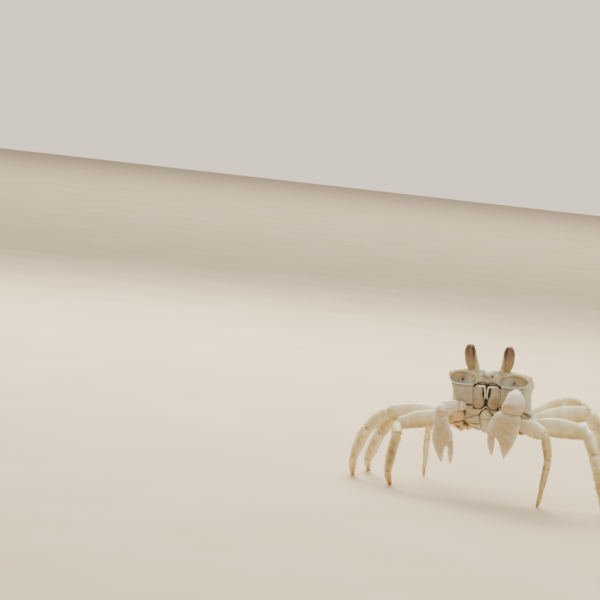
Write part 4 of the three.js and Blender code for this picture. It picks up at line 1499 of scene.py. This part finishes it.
def add_hand(hand, side, palm, finger, wrist):
    """The hand with its fixed finger, the movable finger beside it, and the skin of the wrist."""
    along = heading(side, *palm["pose"])
    axes = segment_axes(along, np.cross([-side, 0, 0.0], along))
    edges = through(*palm["inner"]), through(*palm["outer"]), through(*palm["width"])
    relief, shares = hand_detail(palm["length"], PALM_TEETH_FROM, PALM_SEED)
    shape = loft(
        palm["length"] + ARM_LAP, *edges, around=88, along=150, rounding=0.07, relief=relief, shares=shares,
    )
    piece(f"claw_{hand}_palm", moved(shape, axes, wrist - along * ARM_LAP), "claw", [f"claw_{hand}_palm"])

    depth, width = finger["depth"], finger["width"]
    edges = edges_of((depth, 0.85 * depth, 0.3 * depth), (width, 0.9 * width, 0.4 * width), finger["bow"])

    def finger_relief(u, phi):
        run = u * finger["length"]
        bite = ease(u, 0.12, 0.2) * ease(0.92 - u, 0, 0.1) * hump(angle_from(phi, LOW_EDGE), 0.5)
        return 0.28 * toothing(run, 1.25) * bite + 0.06 * grains(run, phi * 1.4, 0.5, FINGER_SEED)

    def finger_shares(u, phi):
        # The finger is painted paler on top, partly as a highlight, and dark at its hinge as painted shade.
        tint = 0.5 - 0.2 * ease(u, 0.3, 1) - 0.1 * np.sin(phi)
        return tint, 0.5 * hump(u, 0.03), 0 * u, 0.25 * ease(u, 0.5, 1)

    shape = loft(
        finger["length"] - GAP, *edges, around=48, along=72, relief=finger_relief, shares=finger_shares,
    )
    hinge = wrist + axes @ np.array([finger["hinge"][0], 0, finger["hinge"][1]])
    finger_axes = axes @ turn("Y", -finger["slope"])
    piece(f"claw_{hand}_finger", moved(shape, finger_axes, hinge), "claw", [f"claw_{hand}_finger"])
    return skin_knot(wrist, along, 0.4 * palm["inner"][0][1], 1.2)


# ---------------------------------------------------------------------------------------------
# Brushes of setae on the body: at the water inlet before the second leg's root and in the pocket
# between the third and fourth legs' roots. Each has its ranges of x, y and height.

BRUSHES = {
    "inlet": ((8.6, 11.6), (-6.4, -4.6), (-10.2, -7.6)),
    "pocket": ((7.6, 10.6), (1.6, 3.9), (-10.4, -8.0)),
}
BRUSH_HAIRS = 420
BRUSH_HAIR_LENGTH = 1.5
BRUSH_HAIR_THICKNESS = 0.12
BRUSH_ROOT_DEPTH = 0.2
BRUSH_SEED = 77


def add_brushes():
    """Each brush's hairs stand on the body where lines from inside it to scattered places meet it."""
    rng = np.random.default_rng(BRUSH_SEED)
    for name, ranges in BRUSHES.items():
        for hand, side in SIDES:
            x, y, z = (rng.uniform(low, high, BRUSH_HAIRS) for low, high in ranges)
            inside = np.stack([0.4 * side * x, 0.6 * y, np.full(BRUSH_HAIRS, -3.0)])
            aim = np.stack([side * x, y, z]) - inside
            roots = slide_to_body(inside, aim * 1.2, -BRUSH_ROOT_DEPTH)
            lean = BODY_TURN @ body_normal(roots)
            shares = [(value - low) / (high - low) for value, (low, high) in zip((x, y), ranges)]
            spots = on_map(np.stack(shares))
            tuft = hairs(
                from_body(roots), lean, BRUSH_HAIR_LENGTH, BRUSH_HAIR_THICKNESS, spots, BRUSH_SEED + 1,
            )
            add_hairs(f"{name}_brush_{hand}", [tuft])


# ---------------------------------------------------------------------------------------------
# The room: floor, lights and camera.

VIEW_BEARING = 12
VIEW_HEIGHT = 6
VIEW_ROLL = 6.53
VIEW_DISTANCE = 900
VIEW_PIVOT = (0, 0, 34)
VIEW_AIM = (-73.7, 28.8)
LENS = 148.5
SENSOR_WIDTH = 36
NEAREST_SHOWN = 0.01

# The room in metres. Each softbox has its place, what it faces, its size, its watts and its colour.
FLOOR_REACH = 4.0
CRAB_MIDDLE = (0, 0, 0.03)
SOFTBOXES = {
    "key_behind_left": ((-0.35, 0.55, 0.6), CRAB_MIDDLE, (0.5, 0.4), 15, "#FFF3DC"),
    "fill_front": ((0.25, -0.8, 0.45), CRAB_MIDDLE, (0.8, 0.6), 1.2, "#F7F1E6"),
    "top": ((0.1, 0.05, 0.8), CRAB_MIDDLE, (0.7, 0.7), 7, "#FFF8EA"),
    "backdrop": ((-0.6, 2.4, 1.5), (-0.6, 1.9, 0), (2.6, 1.6), 55, "#FFF3DC"),
}
WORLD_STRENGTH = 1.5


def view_axes():
    """Columns that point to the picture's level right, its upright and back to the camera."""
    swing, rise = radians(VIEW_BEARING), radians(VIEW_HEIGHT)
    back = np.array([sin(swing) * cos(rise), -cos(swing) * cos(rise), sin(rise)])
    right = np.array([cos(swing), sin(swing), 0])
    return np.stack([right, np.cross(back, right), back], axis=1)


def add_camera():
    """The camera looks along the view's axes at VIEW_AIM, right and up from the pivot, and is rolled."""
    axes = view_axes()
    eye = np.array(VIEW_PIVOT) + axes[:, 2] * VIEW_DISTANCE
    aim = np.array(VIEW_PIVOT) + axes[:, :2] @ np.array(VIEW_AIM)
    back = Vector(eye - aim).normalized()
    right = Vector(axes[:, 1]).cross(back).normalized()
    upright = Matrix((right, back.cross(right), back)).transposed()
    data = bpy.data.cameras.new("camera")
    data.lens = LENS
    data.sensor_width = SENSOR_WIDTH
    data.clip_start = NEAREST_SHOWN
    camera = bpy.data.objects.new("camera", data)
    camera.matrix_world = Matrix.Translation(place(eye[:, None])[0]) @ (
        upright @ Matrix.Rotation(radians(VIEW_ROLL), 3, "Z")
    ).to_4x4()
    bpy.context.scene.collection.objects.link(camera)
    bpy.context.scene.camera = camera


def add_softbox(name, place_at, aim_at, size, watts, colour):
    """A flat soft light at one point of the room, turned to face another."""
    data = bpy.data.lights.new(name, "AREA")
    data.shape = "RECTANGLE"
    data.size, data.size_y = size
    data.energy = watts
    data.color = hex_colour(colour)[:3]
    light = bpy.data.objects.new(name, data)
    way = Vector(aim_at) - Vector(place_at)
    light.matrix_world = Matrix.Translation(place_at) @ way.to_track_quat("-Z", "Y").to_matrix().to_4x4()
    bpy.context.scene.collection.objects.link(light)


def add_floor():
    """A wide level floor under the feet."""
    corners = [(x * FLOOR_REACH, y * FLOOR_REACH, 0) for x, y in ((-1, -1), (1, -1), (1, 1), (-1, 1))]
    mesh = bpy.data.meshes.new("floor")
    mesh.from_pydata(corners, [], [range(4)])
    mesh.materials.append(floor_finish())
    floor = bpy.data.objects.new("floor", mesh)
    bpy.context.scene.collection.objects.link(floor)


def add_world():
    """Light from all round: warm from the horizon, where it is brightest, and dimmer from above."""
    world = bpy.data.worlds.new("soft_room")
    world.use_nodes = True
    tree = world.node_tree
    way = add(tree, "ShaderNodeTexCoord").outputs["Generated"]
    height = add(tree, "ShaderNodeSeparateXYZ", links={"Vector": way}).outputs["Z"]
    stops = ((0, "#F3E6CF"), (0.1, "#EEE1CB"), (0.16, "#8F867A"), (0.5, "#9C958A"))
    colour = add(tree, "ShaderNodeValToRGB", {"stops": stops}, {"Fac": height})
    background = tree.nodes["Background"]
    tree.links.new(colour.outputs["Color"], background.inputs["Color"])
    background.inputs["Strength"].default_value = WORLD_STRENGTH
    bpy.context.scene.world = world


# ---------------------------------------------------------------------------------------------
# The crab and its room.

add_carapace()
add_underside()
add_abdomen()
add_eyes()
add_mouthparts()
add_feelers()
for hand, side in SIDES:
    add_claw(hand, side)
    for number in LEG_ROOTS:
        add_leg(hand, side, number)
add_brushes()
add_camera()
add_floor()
add_world()
for name, settings in SOFTBOXES.items():
    add_softbox(name, *settings)
